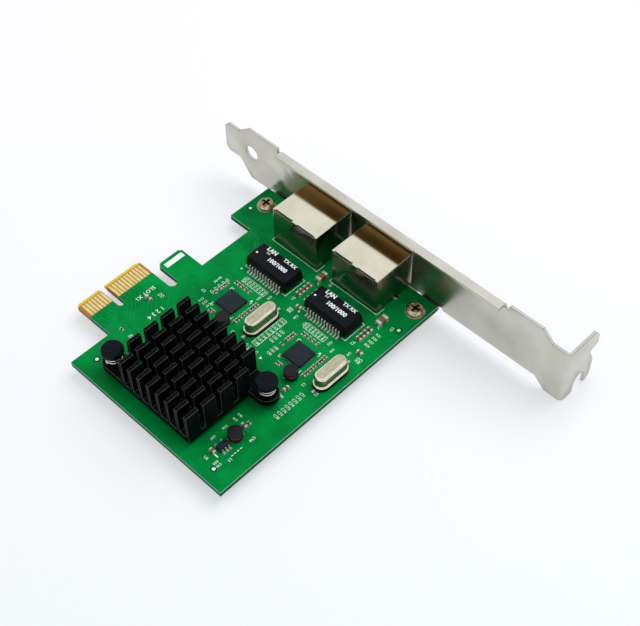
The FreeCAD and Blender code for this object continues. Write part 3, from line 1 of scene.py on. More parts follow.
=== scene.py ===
"""Finishes, printing, soldering and fine detail for the two-port network interface card.

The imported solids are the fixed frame. This script gives every solid its finish, sets softened copies in
place of the ones whose edges catch the light, and adds what a solid leaves out: the white legend, the tracks
under the solder mask, vias, solder, coil windings and round spring wire. Lengths are in millimetres until
they reach a mesh.
"""
from __future__ import annotations

import logging
import math
from dataclasses import dataclass, field
from enum import Enum

import bmesh
import bpy
from mathutils import Matrix, Vector

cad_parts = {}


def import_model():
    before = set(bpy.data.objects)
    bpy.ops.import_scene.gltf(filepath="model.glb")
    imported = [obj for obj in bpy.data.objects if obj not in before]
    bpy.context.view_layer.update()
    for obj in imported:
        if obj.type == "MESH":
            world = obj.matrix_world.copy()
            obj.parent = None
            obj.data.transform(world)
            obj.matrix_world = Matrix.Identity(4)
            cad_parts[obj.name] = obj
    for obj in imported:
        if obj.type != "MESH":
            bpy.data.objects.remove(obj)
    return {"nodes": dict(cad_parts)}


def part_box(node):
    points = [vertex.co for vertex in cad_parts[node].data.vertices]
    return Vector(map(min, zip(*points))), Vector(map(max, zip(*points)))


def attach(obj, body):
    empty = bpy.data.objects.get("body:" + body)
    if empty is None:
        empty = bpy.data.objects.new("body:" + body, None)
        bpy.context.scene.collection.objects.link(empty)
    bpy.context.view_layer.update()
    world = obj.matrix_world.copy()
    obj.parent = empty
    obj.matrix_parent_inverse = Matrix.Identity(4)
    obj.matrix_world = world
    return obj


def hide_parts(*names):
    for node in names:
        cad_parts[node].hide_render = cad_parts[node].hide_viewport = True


log = logging.getLogger("network_card")

Point = tuple[float, float]
Box = tuple[Vector, Vector]
Colour = tuple[float, float, float, float]
Socket = bpy.types.NodeSocket
Finishes = dict[str, bpy.types.Material]

MM = 0.001
BODY = "root"
BOARD_THICKNESS = 1.57
PORTS = ("port_1", "port_2")
CONTROLLERS = ("controller_1", "controller_2")
CHIP_COMPONENTS = ("small_capacitors", "chip_capacitors", "chip_resistors", "isolation_capacitors")
SCREWS = ((-50.8, 10.5), (-50.8, 65.6))


def linear(code: str) -> Colour:
    """Turn a screen colour into the renderer's linear colour.

    Args:
        code: Six hexadecimal digits, two for each of red, green and blue.

    Returns:
        Red, green, blue and alpha.
    """
    parts = [int(code[place:place + 2], 16) / 255 for place in (0, 2, 4)]
    return (*(part / 12.92 if part <= 0.04045 else ((part + 0.055) / 1.055) ** 2.4 for part in parts), 1.0)


def centred(count: int, pitch: float = 1.0) -> list[float]:
    """Space things evenly about their middle.

    Args:
        count: How many.
        pitch: From one to the next.

    Returns:
        The offset of each from the middle.
    """
    return [(number - (count - 1) / 2) * pitch for number in range(count)]


# ---- Node trees and meshes ----
class Nodes:
    """Adds nodes to one tree, with values or other nodes' outputs on their inputs."""

    def __init__(self, tree: bpy.types.NodeTree) -> None:
        """Start on a tree, emptying it first."""
        self.tree = tree
        tree.nodes.clear()

    def add(self, kind: str, inputs: dict | None = None, **settings: object) -> bpy.types.Node:
        """Add a node.

        Args:
            kind: The node's type name.
            inputs: Values or sockets by input name or number.
            settings: Properties of the node itself.

        Returns:
            The new node.
        """
        node = self.tree.nodes.new(kind)
        for name, setting in settings.items():
            setattr(node, name, setting)
        for key, given in (inputs or {}).items():
            if isinstance(given, Socket):
                self.tree.links.new(given, node.inputs[key])
            else:
                node.inputs[key].default_value = given
        return node

    def range(self, fed: Socket, low: float, high: float, start: float = 0.0, end: float = 1.0) -> Socket:
        """Map a value between start and end onto low to high, clamped.

        Args:
            fed: The value.
            low: Result at start.
            high: Result at end.
            start: Lowest value.
            end: Highest value.

        Returns:
            The mapped value.
        """
        inputs = {"Value": fed, "From Min": start, "From Max": end, "To Min": low, "To Max": high}
        return self.add("ShaderNodeMapRange", inputs).outputs["Result"]

    def mix(self, factor: Socket, first: Colour | Socket, second: Colour | Socket) -> Socket:
        """Blend two colours.

        Args:
            factor: Share of the second colour.
            first: The colour where the share is nought.
            second: The colour where the share is one.

        Returns:
            The blended colour.
        """
        return self.add("ShaderNodeMix", {0: factor, 6: first, 7: second}, data_type="RGBA").outputs[2]

    def math(self, operation: str, first: float | Socket, second: float | Socket = 0.0) -> Socket:
        """Work out one sum.

        Args:
            operation: Blender's name for it.
            first: A number or a socket.
            second: A number or a socket.

        Returns:
            The result.
        """
        return self.add("ShaderNodeMath", {0: first, 1: second}, operation=operation).outputs[0]

    def split(self, vector: Socket) -> bpy.types.NodeOutputs:
        """Split a vector into its X, Y and Z outputs."""
        return self.add("ShaderNodeSeparateXYZ", {0: vector}).outputs

    def levelness(self) -> Socket:
        """Give one on a level face and nought on an upright one."""
        normal = self.add("ShaderNodeNewGeometry").outputs["Normal"]
        return self.math("ABSOLUTE", self.split(normal)["Z"])


class Workshop:
    """Turns meshes into pieces that ride on the card."""

    JOIN = 1e-7
    FLAT = math.radians(1)
    EDGE = math.radians(35)
    CREASE = math.radians(50)

    @staticmethod
    def placed(name: str, data: bpy.types.ID) -> bpy.types.Object:
        """Put a mesh, curve, lamp or lens on a new object in the scene.

        Args:
            name: The object's name.
            data: What it carries.

        Returns:
            The object.
        """
        thing = bpy.data.objects.new(name, data)
        bpy.context.scene.collection.objects.link(thing)
        return thing

    @staticmethod
    def piece(name: str, mesh: bpy.types.Mesh, finish: bpy.types.Material | None, slot: str,
              replaced: tuple[str, ...] = ()) -> None:
        """Make a finished piece of a mesh whose place is in its vertices.

        Args:
            name: The piece's name.
            mesh: Its mesh, in metres.
            finish: Its material, or None where the mesh has one.
            slot: The record's material slot; not used.
            replaced: Solids that the piece stands for.
        """
        thing = Workshop.placed(name, mesh)
        if finish:
            mesh.materials.clear()
            mesh.materials.append(finish)
        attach(thing, BODY)
        if replaced:
            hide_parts(*replaced)
        log.info("%s: %d faces", name, len(mesh.polygons))

    @staticmethod
    def shade(finish: bpy.types.Material, *solids: str) -> None:
        """Give solids their finish.

        Args:
            finish: The material.
            solids: The solids' names.
        """
        for solid in solids:
            materials = bpy.data.objects[solid].data.materials
            materials.clear()
            materials.append(finish)

    @staticmethod
    def flatten(thing: bpy.types.Object) -> bpy.types.Mesh:
        """Take an object with its modifiers as a plain mesh and remove the object.

        Args:
            thing: The object.

        Returns:
            The evaluated mesh.
        """
        bpy.context.view_layer.update()
        graph = bpy.context.evaluated_depsgraph_get()
        mesh = bpy.data.meshes.new_from_object(thing.evaluated_get(graph))
        thing.modifiers.clear()
        bpy.data.objects.remove(thing)
        return mesh

    @staticmethod
    def box(solid: str) -> Box:
        """Give the low and high corner of a solid, in millimetres."""
        low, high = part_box(solid)
        return low / MM, high / MM

    @staticmethod
    def middle(solid: str) -> Vector:
        """Give the middle of a solid, in millimetres."""
        low, high = Workshop.box(solid)
        return (low + high) / 2

    @staticmethod
    def merged(solid: str) -> bmesh.types.BMesh:
        """Copy a solid's mesh with its loose triangles joined.

        Args:
            solid: The solid's name.

        Returns:
            The joined copy.
        """
        form = bmesh.new()
        form.from_mesh(bpy.data.objects[solid].data)
        bmesh.ops.remove_doubles(form, verts=form.verts, dist=Workshop.JOIN)
        return form

    @staticmethod
    def islands(node: str) -> list[Box]:
        """Find the separate solids of a node.

        Args:
            node: The node's name.

        Returns:
            The low and high corner of each solid, in millimetres, in a fixed order.
        """
        form = Workshop.merged(node)
        seen: set[int] = set()
        boxes = []
        form.verts.ensure_lookup_table()
        for start in form.verts:
            if start.index in seen:
                continue
            seen.add(start.index)
            front, reached = [start], []
            while front:
                corner = front.pop()
                reached.append(corner.co / MM)
                for edge in corner.link_edges:
                    other = edge.other_vert(corner)
                    if other.index not in seen:
                        seen.add(other.index)
                        front.append(other)
            boxes.append((Vector(map(min, *reached)), Vector(map(max, *reached))))
        form.free()
        return sorted(boxes, key=lambda box: [round(part, 3) for corner in box for part in corner])

    @staticmethod
    def softened(solid: str, finish: bpy.types.Material, slot: str, width: float, segments: int = 2,
                 edge_wear_and_light: bpy.types.Material | None = None) -> None:
        """Stand a copy with rounded edges in a solid's place.

        Args:
            solid: The solid's name.
            finish: The copy's material.
            slot: The record's material slot.
            width: Width of the rounding, in millimetres.
            segments: Steps across the rounding.
            edge_wear_and_light: Material of the rounded edges, where it differs: painted shade on some edges,
                a painted highlight on others, and partly bare cut metal on the heatsink.
        """
        form = Workshop.merged(solid)
        bmesh.ops.dissolve_limit(form, angle_limit=Workshop.FLAT, verts=form.verts, edges=form.edges)
        mesh = bpy.data.meshes.new(solid + "_softened")
        form.to_mesh(mesh)
        form.free()
        rough = Workshop.placed(solid + "_rough", mesh)
        bevel = rough.modifiers.new("edges", "BEVEL")
        bevel.width = width * MM
        bevel.segments = segments
        bevel.limit_method = "ANGLE"
        bevel.angle_limit = Workshop.EDGE
        bevel.use_clamp_overlap = True
        mesh.materials.append(finish)
        if edge_wear_and_light:
            mesh.materials.append(edge_wear_and_light)
            bevel.material = 1
        result = Workshop.flatten(rough)
        result.shade_smooth()
        result.set_sharp_from_angle(angle=Workshop.CREASE)
        Workshop.piece(solid + "_softened", result, None, slot, (solid,))


# ---- Finishes ----
@dataclass(frozen=True)
class Finish:
    """Two tones blended by a grain that also drives roughness and relief.

    Attributes:
        name: The material's name.
        light: Lighter tone.
        dark: Darker tone.
        grain: Patterns per millimetre.
        stretch: Grain density along each axis.
        rough: Lowest and highest roughness.
        metal: Share of metal.
        gloss: Specular level.
        coat: Clear coat.
        relief: Height of the grain, in millimetres.
        detail: Octaves of the grain.
        contrast: Lowest and highest grain value that still change the tone.
        upright: How much of the tone is left on upright faces, which are darkened as painted shade.
        haze: Roughness added on the painted shade band and on upright faces.
        shadow: Tone of the painted shade band towards an edge along the card, a painted reflection of the
            bracket's flange and its shade.
        painted_shade_span: Where the painted shade band is full and where it ends, in millimetres along the
            card.
    """

    name: str
    light: str
    dark: str
    grain: float = 2.0
    stretch: tuple[float, float, float] = (1.0, 1.0, 1.0)
    rough: tuple[float, float] = (0.35, 0.5)
    metal: float = 0.0
    gloss: float = 0.5
    coat: float = 0.0
    relief: float = 0.0
    detail: float = 4.0
    contrast: tuple[float, float] = (0.3, 0.7)
    upright: float = 1.0
    haze: float = 0.0
    shadow: str = "000000"
    painted_shade_span: tuple[float, float] | None = None

    LEVEL = (0.3, 0.7)
    UPRIGHT_HAZE = 0.6
    COAT_ROUGHNESS = 0.12

    def start(self) -> tuple[Nodes, bpy.types.Material, Socket, Socket]:
        """Begin the material with its coordinates and grain.

        Returns:
            The node builder, the material, object coordinates and the grain's value.
        """
        material = bpy.data.materials.new(self.name)
        material.use_nodes = True
        nodes = Nodes(material.node_tree)
        place = nodes.add("ShaderNodeTexCoord").outputs["Object"]
        scale = [self.grain * part / MM for part in self.stretch]
        spread = nodes.add("ShaderNodeMapping", {"Vector": place, "Scale": scale}).outputs[0]
        noise = nodes.add("ShaderNodeTexNoise", {"Vector": spread, "Scale": 1.0, "Detail": self.detail})
        return nodes, material, place, noise.outputs["Fac"]

    def blend(self, nodes: Nodes, grain: Socket) -> Socket:
        """Blend the two tones by the grain."""
        return nodes.mix(nodes.range(grain, 0.0, 1.0, *self.contrast), linear(self.dark), linear(self.light))

    def finish(self, nodes: Nodes, tone: Socket, grain: Socket, dulled: Socket | float = 1.0) -> None:
        """End the material with its shader.

        Args:
            nodes: The node builder.
            tone: The colour.
            grain: The grain's value.
            dulled: Where the haze lies, from nought to one.
        """
        rough = nodes.range(grain, *self.rough, *self.contrast)
        if self.haze:
            rough = nodes.math("ADD", rough, nodes.math("MULTIPLY", dulled, self.haze))
        inputs = {"Base Color": tone, "Roughness": rough, "Metallic": self.metal,
                  "Specular IOR Level": self.gloss, "Coat Weight": self.coat}
        if self.coat:
            inputs["Coat Roughness"] = self.COAT_ROUGHNESS
        if self.relief:
            height = {"Height": grain, "Distance": self.relief * MM, "Strength": 1.0}
            inputs["Normal"] = nodes.add("ShaderNodeBump", height).outputs[0]
        shader = nodes.add("ShaderNodeBsdfPrincipled", inputs)
        nodes.add("ShaderNodeOutputMaterial", {"Surface": shader.outputs[0]})

    def material(self) -> bpy.types.Material:
        """Build the material.

        Returns:
            The material.
        """
        nodes, material, place, grain = self.start()
        tone = self.blend(nodes, grain)
        dulled: Socket | float = 1.0
        # Painted reflection and shade: a band in the shadow tone on level faces, towards an edge along the
        # card
        if self.painted_shade_span:
            full, end = (part * MM for part in self.painted_shade_span)
            along = nodes.range(nodes.split(place)["X"], 1.0, 0.0, full, end)
            painted_band = nodes.math("MULTIPLY", along, nodes.levelness())
            tone = nodes.mix(painted_band, tone, linear(self.shadow))
            hazed = nodes.range(nodes.levelness(), self.UPRIGHT_HAZE, 0.0, *self.LEVEL)
            dulled = nodes.math("MAXIMUM", painted_band, hazed)
        # Painted shade: the tone is darkened on upright faces
        if self.upright < 1.0:
            share = nodes.range(nodes.levelness(), self.upright, 1.0, *self.LEVEL)
            tone = nodes.add("ShaderNodeVectorMath", {0: tone, "Scale": share}, operation="SCALE").outputs[0]
        self.finish(nodes, tone, grain, dulled)
        return material


@dataclass(frozen=True)
class MaskedBoard(Finish):
    """Green solder mask over copper pours on both faces, with cut edges and a bare plug-in tongue.

    Attributes:
        cut: Tone of the cut edge: the laminate's own green, darkened as painted shade.
        rim: Tone of the thin pale line along the top of the cut edge, a painted highlight.
        rim_depth: Where the painted highlight starts and where it is full, below the component face.
        open_mask: Tone where no copper lies under the mask.
        open_share: How much of that tone shows.
        pour: Size of a copper pour.
        cloud: Size of the mask's thick and thin stretches.
        laminate: Tone of the bare laminate between the contacts.
        bevel: Tone of the laminate where the tongue is bevelled.
        tongue: Left and right side of the bare tongue.
        tongue_end: Upper end of the bare tongue.
        bevel_end: Where the bevel's tone starts to fade and where it has gone.
    """

    # Painted shade in the cut edge's tone, and a painted highlight in the rim's tone
    cut: str = "0b4a2a"
    rim: str = "b4e6cc"
    rim_depth: tuple[float, float] = (-0.3, -0.2)
    open_mask: str = "005c2b"
    open_share: float = 0.22
    pour: float = 7.0
    cloud: float = 16.0
    laminate: str = "a8752f"
    bevel: str = "d9b93f"
    tongue: tuple[float, float] = (-12.9, 9.0)
    tongue_end: float = 5.95
    bevel_end: tuple[float, float] = (1.0, 1.1)

    GRAIN_SHARE = 0.5
    CLOUD_SPAN = (0.55, 0.95)
    POUR_EDGE = (0.4, 0.5)
    POUR_JITTER = 0.85
    BARE_EDGE = 0.9
    FACE_SPAN = (0.6, 0.7)

    def blend(self, nodes: Nodes, grain: Socket) -> Socket:
        """Blend the mask's tones by its clouds and by the pours below it.

        Args:
            nodes: The node builder.
            grain: The grain's value.

        Returns:
            The colour of the masked faces.
        """
        place = nodes.add("ShaderNodeTexCoord").outputs["Object"]
        clouds = {"Vector": place, "Scale": 1 / (self.cloud * MM), "Detail": 2.0}
        cloud = nodes.add("ShaderNodeTexNoise", clouds).outputs["Fac"]
        thick = nodes.math("ADD", cloud, nodes.math("MULTIPLY", grain, self.GRAIN_SHARE))
        share = nodes.range(thick, 0.0, 1.0, *self.CLOUD_SPAN)
        mask = nodes.mix(share, linear(self.dark), linear(self.light))
        cells = {"Vector": place, "Scale": 1 / (self.pour * MM), "Randomness": self.POUR_JITTER}
        pours = nodes.add("ShaderNodeTexVoronoi", cells, distance="CHEBYCHEV", feature="F1")
        gap = nodes.range(pours.outputs["Distance"], 0.0, self.open_share, *self.POUR_EDGE)
        return nodes.mix(gap, mask, linear(self.open_mask))

    def bare(self, nodes: Nodes, part: bpy.types.NodeOutputs) -> Socket:
        """Find the bare tongue.

        Args:
            nodes: The node builder.
            part: The three object coordinates.

        Returns:
            One on the tongue, nought elsewhere.
        """
        left, right = (side * MM for side in self.tongue)
        across = nodes.math("ABSOLUTE", nodes.math("SUBTRACT", part["X"], (left + right) / 2))
        within = nodes.math("LESS_THAN", across, (right - left) / 2)
        return nodes.math("MULTIPLY", within, nodes.math("LESS_THAN", part["Y"], self.tongue_end * MM))

    def material(self) -> bpy.types.Material:
        """Build the material.

        Returns:
            The material.
        """
        nodes, material, place, grain = self.start()
        part = nodes.split(place)
        bare = self.bare(nodes, part)
        bevelled = nodes.range(part["Y"], 1.0, 0.0, *(end * MM for end in self.bevel_end))
        bare_tone = nodes.mix(bevelled, linear(self.laminate), linear(self.bevel))
        mask = nodes.mix(bare, self.blend(nodes, grain), bare_tone)
        # Painted highlight and shade on the cut edge: a pale line at its top over a darkened tone
        over = nodes.range(part["Z"], 0.0, 1.0, *(depth * MM for depth in self.rim_depth))
        edge = nodes.mix(over, linear(self.cut), linear(self.rim))
        edge = nodes.mix(nodes.math("MULTIPLY", bare, self.BARE_EDGE), edge, bare_tone)
        face = nodes.range(nodes.levelness(), 0.0, 1.0, *self.FACE_SPAN)
        self.finish(nodes, nodes.mix(face, edge, mask), grain)
        return material


@dataclass(frozen=True)
class Speckled(Finish):
    """A finish with small sharp flecks over its grain.

    Attributes:
        fleck: Tone of the flecks.
        cell: Flecks per millimetre.
        amount: How far a fleck reaches into its cell.
        show: How much of the flecks' tone shows.
    """

    fleck: str = "ffffff"
    cell: float = 4.0
    amount: float = 0.25
    show: float = 0.5

    def material(self) -> bpy.types.Material:
        """Build the material.

        Returns:
            The material.
        """
        nodes, material, place, grain = self.start()
        cells = nodes.add("ShaderNodeTexVoronoi", {"Vector": place, "Scale": self.cell / MM})
        spot = nodes.range(cells.outputs["Distance"], self.show, 0.0, 0.0, self.amount)
        self.finish(nodes, nodes.mix(spot, self.blend(nodes, grain), linear(self.fleck)), grain)
        return material


BOARD_FINISHES = (
    MaskedBoard("solder_mask", "008d3e", "006f30", grain=0.2, rough=(0.3, 0.42), gloss=0.04),
    Finish("masked_track", "05954a", "007c39", grain=0.5, rough=(0.28, 0.4), gloss=0.05),
    Finish("mask_shadow", "00522a", "003d1e", grain=2.0, rough=(0.4, 0.55), gloss=0.05),
    Finish("legend_ink", "f8fbf8", "d8eede", grain=1.6, rough=(0.5, 0.7), gloss=0.1),
    Finish("marking_ink", "f2f5f4", "d9dedd", grain=1.6, rough=(0.5, 0.7), gloss=0.1),
    Finish("fiducial_tin", "f4f6e6", "dde2c6", grain=2.0, rough=(0.25, 0.35), metal=0.4),
    Speckled("gold_plate", "f0e2a8", "dcc574", grain=1.5, stretch=(1.0, 0.3, 1.0), rough=(0.22, 0.38),
             metal=0.85, fleck="b58a2c", relief=0.002),
    Finish("tinned", "d2d5cf", "9aa09a", grain=5.0, rough=(0.22, 0.4), metal=0.95, relief=0.006),
    Finish("tinned_ends", "e8eae0", "bcc0b4", grain=5.0, rough=(0.25, 0.4), metal=0.45, relief=0.004),
    Finish("solder", "c9ccc8", "848984", grain=3.0, rough=(0.16, 0.34), metal=1.0, relief=0.01),
)
METALWORK_FINISHES = (
    # Painted shade: the bracket's upright faces are darkened
    Finish("bracket_nickel", "e3e1d6", "c8c6b8", grain=0.08, rough=(0.26, 0.34), metal=1.0, detail=3.0,
           upright=0.86),
    # Painted shade: darker rounded edges outline the bracket
    Finish("bracket_edge", "a9a79c", "8f8d82", grain=0.4, rough=(0.2, 0.3), metal=1.0),
    Finish("screw_bronze", "e8d8b8", "755a36", grain=1.2, rough=(0.2, 0.34), metal=1.0, relief=0.004),
    # Painted reflection and shade on the shield tops: a brown band beside the bracket, and darker upright
    # faces
    Finish("shield_tin", "e4e1cd", "d9d5bf", grain=0.2, rough=(0.09, 0.15), metal=1.0, upright=0.36,
           haze=0.18, shadow="86693a", painted_shade_span=(-51.5, -51.1)),
    # Painted shade: darker rounded edges on the shields, darkest where upright
    Finish("shield_edge", "e2dfca", "bdb9a2", grain=0.4, rough=(0.25, 0.35), metal=1.0, upright=0.2),
    Finish("black_anodised", "050808", "020303", grain=2.0, stretch=(0.08, 1.0, 1.0), rough=(0.34, 0.46),
           gloss=0.05, relief=0.003, detail=6.0),
    # Paler rounded heatsink edges: partly bare cut metal, partly a painted highlight
    Finish("anodised_edge", "565b59", "343938", grain=1.2, rough=(0.3, 0.4), metal=0.3, gloss=0.3),
    Finish("spring_steel", "dcdcd8", "9fa09d", grain=4.0, rough=(0.12, 0.24), metal=1.0),
)
COMPONENT_FINISHES = (
    Finish("housing_black", "101112", "060708", grain=3.0, rough=(0.4, 0.55), gloss=0.15, relief=0.004),
    Finish("green_lens", "8fbf8a", "6fa572", grain=0.8, rough=(0.18, 0.26), coat=0.4),
    Finish("amber_lens", "d9b25a", "c49338", grain=0.8, rough=(0.18, 0.26), coat=0.4),
    Speckled("transformer_black", "0c0e14", "05060a", grain=2.5, rough=(0.38, 0.52), gloss=0.12,
             fleck="1a1d24", relief=0.004),
    Speckled("chip_slate", "202b32", "141d23", grain=3.0, rough=(0.4, 0.52), gloss=0.14, fleck="36434a",
             relief=0.003),
    Finish("resistor_film", "14161a", "08090c", grain=5.0, rough=(0.3, 0.45), gloss=0.15, relief=0.003),
    # Painted shade: the crystal cans' sides are darkened
    Finish("crystal_steel", "d0cab0", "b3ac8f", grain=1.6, stretch=(0.5, 1.0, 1.0), rough=(0.24, 0.36),
           metal=1.0, relief=0.001, upright=0.5),
    # Painted highlight: pale rounded edges of the crystal cans, round the rim at the foot
    Finish("crystal_rim", "faf6e8", "e0dac2", grain=0.8, rough=(0.12, 0.22), metal=1.0),
    Finish("crystal_seat", "1a1511", "0c0a08", grain=4.0, rough=(0.5, 0.65), gloss=0.15, relief=0.003),
    Speckled("ferrite", "1a1d22", "0b0d10", grain=4.0, rough=(0.4, 0.6), gloss=0.2, fleck="2c2f33",
             relief=0.006),
    Finish("enamelled_copper", "7c4228", "502414", grain=4.0, stretch=(1.0, 1.0, 3.0), rough=(0.22, 0.36),
           metal=0.6, coat=0.4),
    Finish("thermal_pad", "8c9096", "767a80", grain=3.0, rough=(0.6, 0.8), relief=0.01),
    Finish("pin_nylon", "0b131b", "060b12", grain=1.0, rough=(0.2, 0.32), gloss=0.08, relief=0.001),
    Speckled("ceramic", "7d6c48", "5a4a2c", grain=5.0, rough=(0.35, 0.5), gloss=0.2, fleck="978660",
             relief=0.003),
)


def mixed_finishes() -> Finishes:
    """Build every finish on the card, by its name."""
    table = BOARD_FINISHES + METALWORK_FINISHES + COMPONENT_FINISHES
    return {finish.name: finish.material() for finish in table}


# ---- Flat artwork ----
class Face(Enum):
    """The two faces of the board."""

    COMPONENT = 1
    SOLDER = -1


@dataclass
class Artwork:
    """Thin raised shapes on one face of the board, gathered into one mesh.

    Attributes:
        face: The face that carries them.
        thickness: How far they stand up, in millimetres.
        level: Height of their underside above the face.
        form: The mesh that grows.
    """

    face: Face
    thickness: float = 0.02
    level: float = 0.0
    form: bmesh.types.BMesh = field(default_factory=bmesh.new)

    CAP_SHARE = 0.72
    LINE_SPACE = 0.8
    MITRE_LIMIT = 0.4

    @property
    def base(self) -> float:
        """Height of the shapes' underside in the card's frame."""
        return self.level if self.face is Face.COMPONENT else -BOARD_THICKNESS - self.level

    def prism(self, outline: list[Point], hole: list[Point] | None = None) -> None:
        """Add a closed prism on an outline, with a hole of as many corners if one is given.

        Args:
            outline: Corners in order, in millimetres.
            hole: Corners of the hole, matching the outline's.
        """
        low, high = self.base * MM, (self.base + self.face.value * self.thickness) * MM
        loops = []
        for ring in (outline, hole or []):
            loops.append([[self.form.verts.new((x * MM, y * MM, z)) for x, y in ring] for z in (low, high)])
        (bottom, top), (hole_bottom, hole_top) = loops
        add = self.form.faces.new
        for here in range(len(outline)):
            after = (here + 1) % len(outline)
            add((bottom[here], bottom[after], top[after], top[here]))
            if hole:
                add((hole_bottom[after], hole_bottom[here], hole_top[here], hole_top[after]))
                add((top[here], top[after], hole_top[after], hole_top[here]))
                add((bottom[after], bottom[here], hole_bottom[here], hole_bottom[after]))
        if not hole:
            add(top)
            add(list(reversed(bottom)))

    def block(self, x: float, y: float, width: float, height: float) -> None:
        """Add a rectangle about a centre."""
        across, up = width / 2, height / 2
        self.prism([(x - across, y - up), (x + across, y - up), (x + across, y + up), (x - across, y + up)])

    @staticmethod
    def arc(x: float, y: float, radius: float, angles: list[float]) -> list[Point]:
        """Give the points of an arc about a centre, one for each angle in degrees."""
        turns = [math.radians(angle) for angle in angles]
        return [(x + radius * math.cos(turn), y + radius * math.sin(turn)) for turn in turns]

    def disc(self, x: float, y: float, diameter: float, inner: float = 0.0, sides: int = 24) -> None:
        """Add a disc, or a ring where an inner diameter is given.

        Args:
            x: Centre along the board.
            y: Centre up the board.
            diameter: Outer diameter.
            inner: Inner diameter, or nought.
            sides: Sides of the outline.
        """
        angles = [360 * side / sides for side in range(sides)]
        hole = self.arc(x, y, inner / 2, angles) if inner else None
        self.prism(self.arc(x, y, diameter / 2, angles), hole)

    def line(self, points: list[Point], width: float) -> None:
        """Add a line of even width with mitred corners.

        Args:
            points: The line's points, in millimetres.
            width: Its width.
        """
        left, right = [], []
        for number, point in enumerate(points):
            here = Vector(point)
            before = (here - Vector(points[number - 1])).normalized() if number else None
            after = (Vector(points[number + 1]) - here).normalized() if number + 1 < len(points) else None
            along = ((before or after) + (after or before)).normalized()
            normal = Vector((-along.y, along.x))
            reach = width / 2 / max(self.MITRE_LIMIT, along.dot(after or before))
            left.append(tuple(here + normal * reach))
            right.append(tuple(here - normal * reach))
        for here in range(len(points) - 1):
            self.prism([right[here], right[here + 1], left[here + 1], left[here]])

    def lines(self, routes: list[list[Point]], width: float) -> None:
        """Add several lines of one width."""
        for route in routes:
            self.line(route, width)

    def text(self, words: str, x: float, y: float, height: float, turn: float = 0.0,
             bold: float = 0.0) -> None:
        """Add lettering centred on a point.

        Args:
            words: What it says, with line breaks.
            x: Centre along the board.
            y: Centre up the board.
            height: Height of a capital, in millimetres.
            turn: Angle in degrees.
            bold: Extra weight, in millimetres.
        """
        curve = bpy.data.curves.new("lettering", "FONT")
        curve.body = words
        curve.align_x = curve.align_y = "CENTER"
        curve.size = height / self.CAP_SHARE
        curve.space_line = self.LINE_SPACE
        curve.offset = bold
        curve.resolution_u = 2
        curve.extrude = self.thickness / 2
        mesh = Workshop.flatten(Workshop.placed("lettering", curve))
        middle = self.base + self.face.value * self.thickness / 2
        flip = Matrix.Diagonal((self.face.value, 1, self.face.value, 1))
        turned = Matrix.Rotation(math.radians(turn), 4, "Z") @ Matrix.Scale(MM, 4) @ flip
        mesh.transform(Matrix.Translation((x * MM, y * MM, middle * MM)) @ turned)
        self.form.from_mesh(mesh)
        bpy.data.meshes.remove(mesh)

    def piece(self, name: str, finish: bpy.types.Material, slot: str, replaced: tuple[str, ...] = ()) -> None:
        """Close the artwork and make it a piece.

        Args:
            name: The piece's name.
            finish: Its material.
            slot: The record's material slot.
            replaced: Solids that the piece stands for.
        """
        bmesh.ops.recalc_face_normals(self.form, faces=self.form.faces)
        mesh = bpy.data.meshes.new(name)
        self.form.to_mesh(mesh)
        self.form.free()
        Workshop.piece(name, mesh, finish, slot, replaced)


# ---- Repeated forms ----
@dataclass
class Grower:
    """A Geometry Nodes tree with named inputs, run on a few points and turned into a plain mesh.

    Attributes:
        name: The tree's name.
        sizes: Its inputs with their values, in metres or plain numbers.
    """

    name: str
    sizes: dict[str, float]

    def __post_init__(self) -> None:
        """Make the tree with its inputs."""
        self.tree = bpy.data.node_groups.new(self.name, "GeometryNodeTree")
        self.nodes = Nodes(self.tree)
        face = self.tree.interface
        face.new_socket("Geometry", in_out="INPUT", socket_type="NodeSocketGeometry")
        self.keys = {}
        for label in self.sizes:
            socket = face.new_socket(label, in_out="INPUT", socket_type="NodeSocketFloat")
            self.keys[label] = socket.identifier
        face.new_socket("Geometry", in_out="OUTPUT", socket_type="NodeSocketGeometry")
        self.given = self.nodes.add("NodeGroupInput").outputs

    def end(self, form: Socket, finish: bpy.types.Material, smooth: bool = True) -> None:
        """Finish the tree: real geometry with its material.

        Args:
            form: The geometry.
            finish: The material.
            smooth: Whether faces are shaded smooth.
        """
        real = self.nodes.add("GeometryNodeRealizeInstances", {0: form}).outputs[0]
        shading = {"Geometry": real, "Shade Smooth": smooth}
        shaded = self.nodes.add("GeometryNodeSetShadeSmooth", shading).outputs[0]
        done = self.nodes.add("GeometryNodeSetMaterial", {"Geometry": shaded, "Material": finish}).outputs[0]
        self.nodes.add("NodeGroupOutput", {0: done})

    def grow(self, points: list[Vector], scales: list[Vector] | None = None) -> bpy.types.Mesh:
        """Run the tree on points.

        Args:
            points: Places, in millimetres.
            scales: Size at each place, in millimetres, as the attribute "spread".

        Returns:
            The plain mesh.
        """
        mesh = bpy.data.meshes.new(self.name + "_points")
        mesh.from_pydata([point * MM for point in points], [], [])
        if scales:
            spread = mesh.attributes.new("spread", "FLOAT_VECTOR", "POINT")
            spread.data.foreach_set("vector", [part * MM for scale in scales for part in scale])
        thing = Workshop.placed(self.name, mesh)
        modifier = thing.modifiers.new(self.name, "NODES")
        modifier.node_group = self.tree
        for label, size in self.sizes.items():
            modifier[self.keys[label]] = size
        return Workshop.flatten(thing)


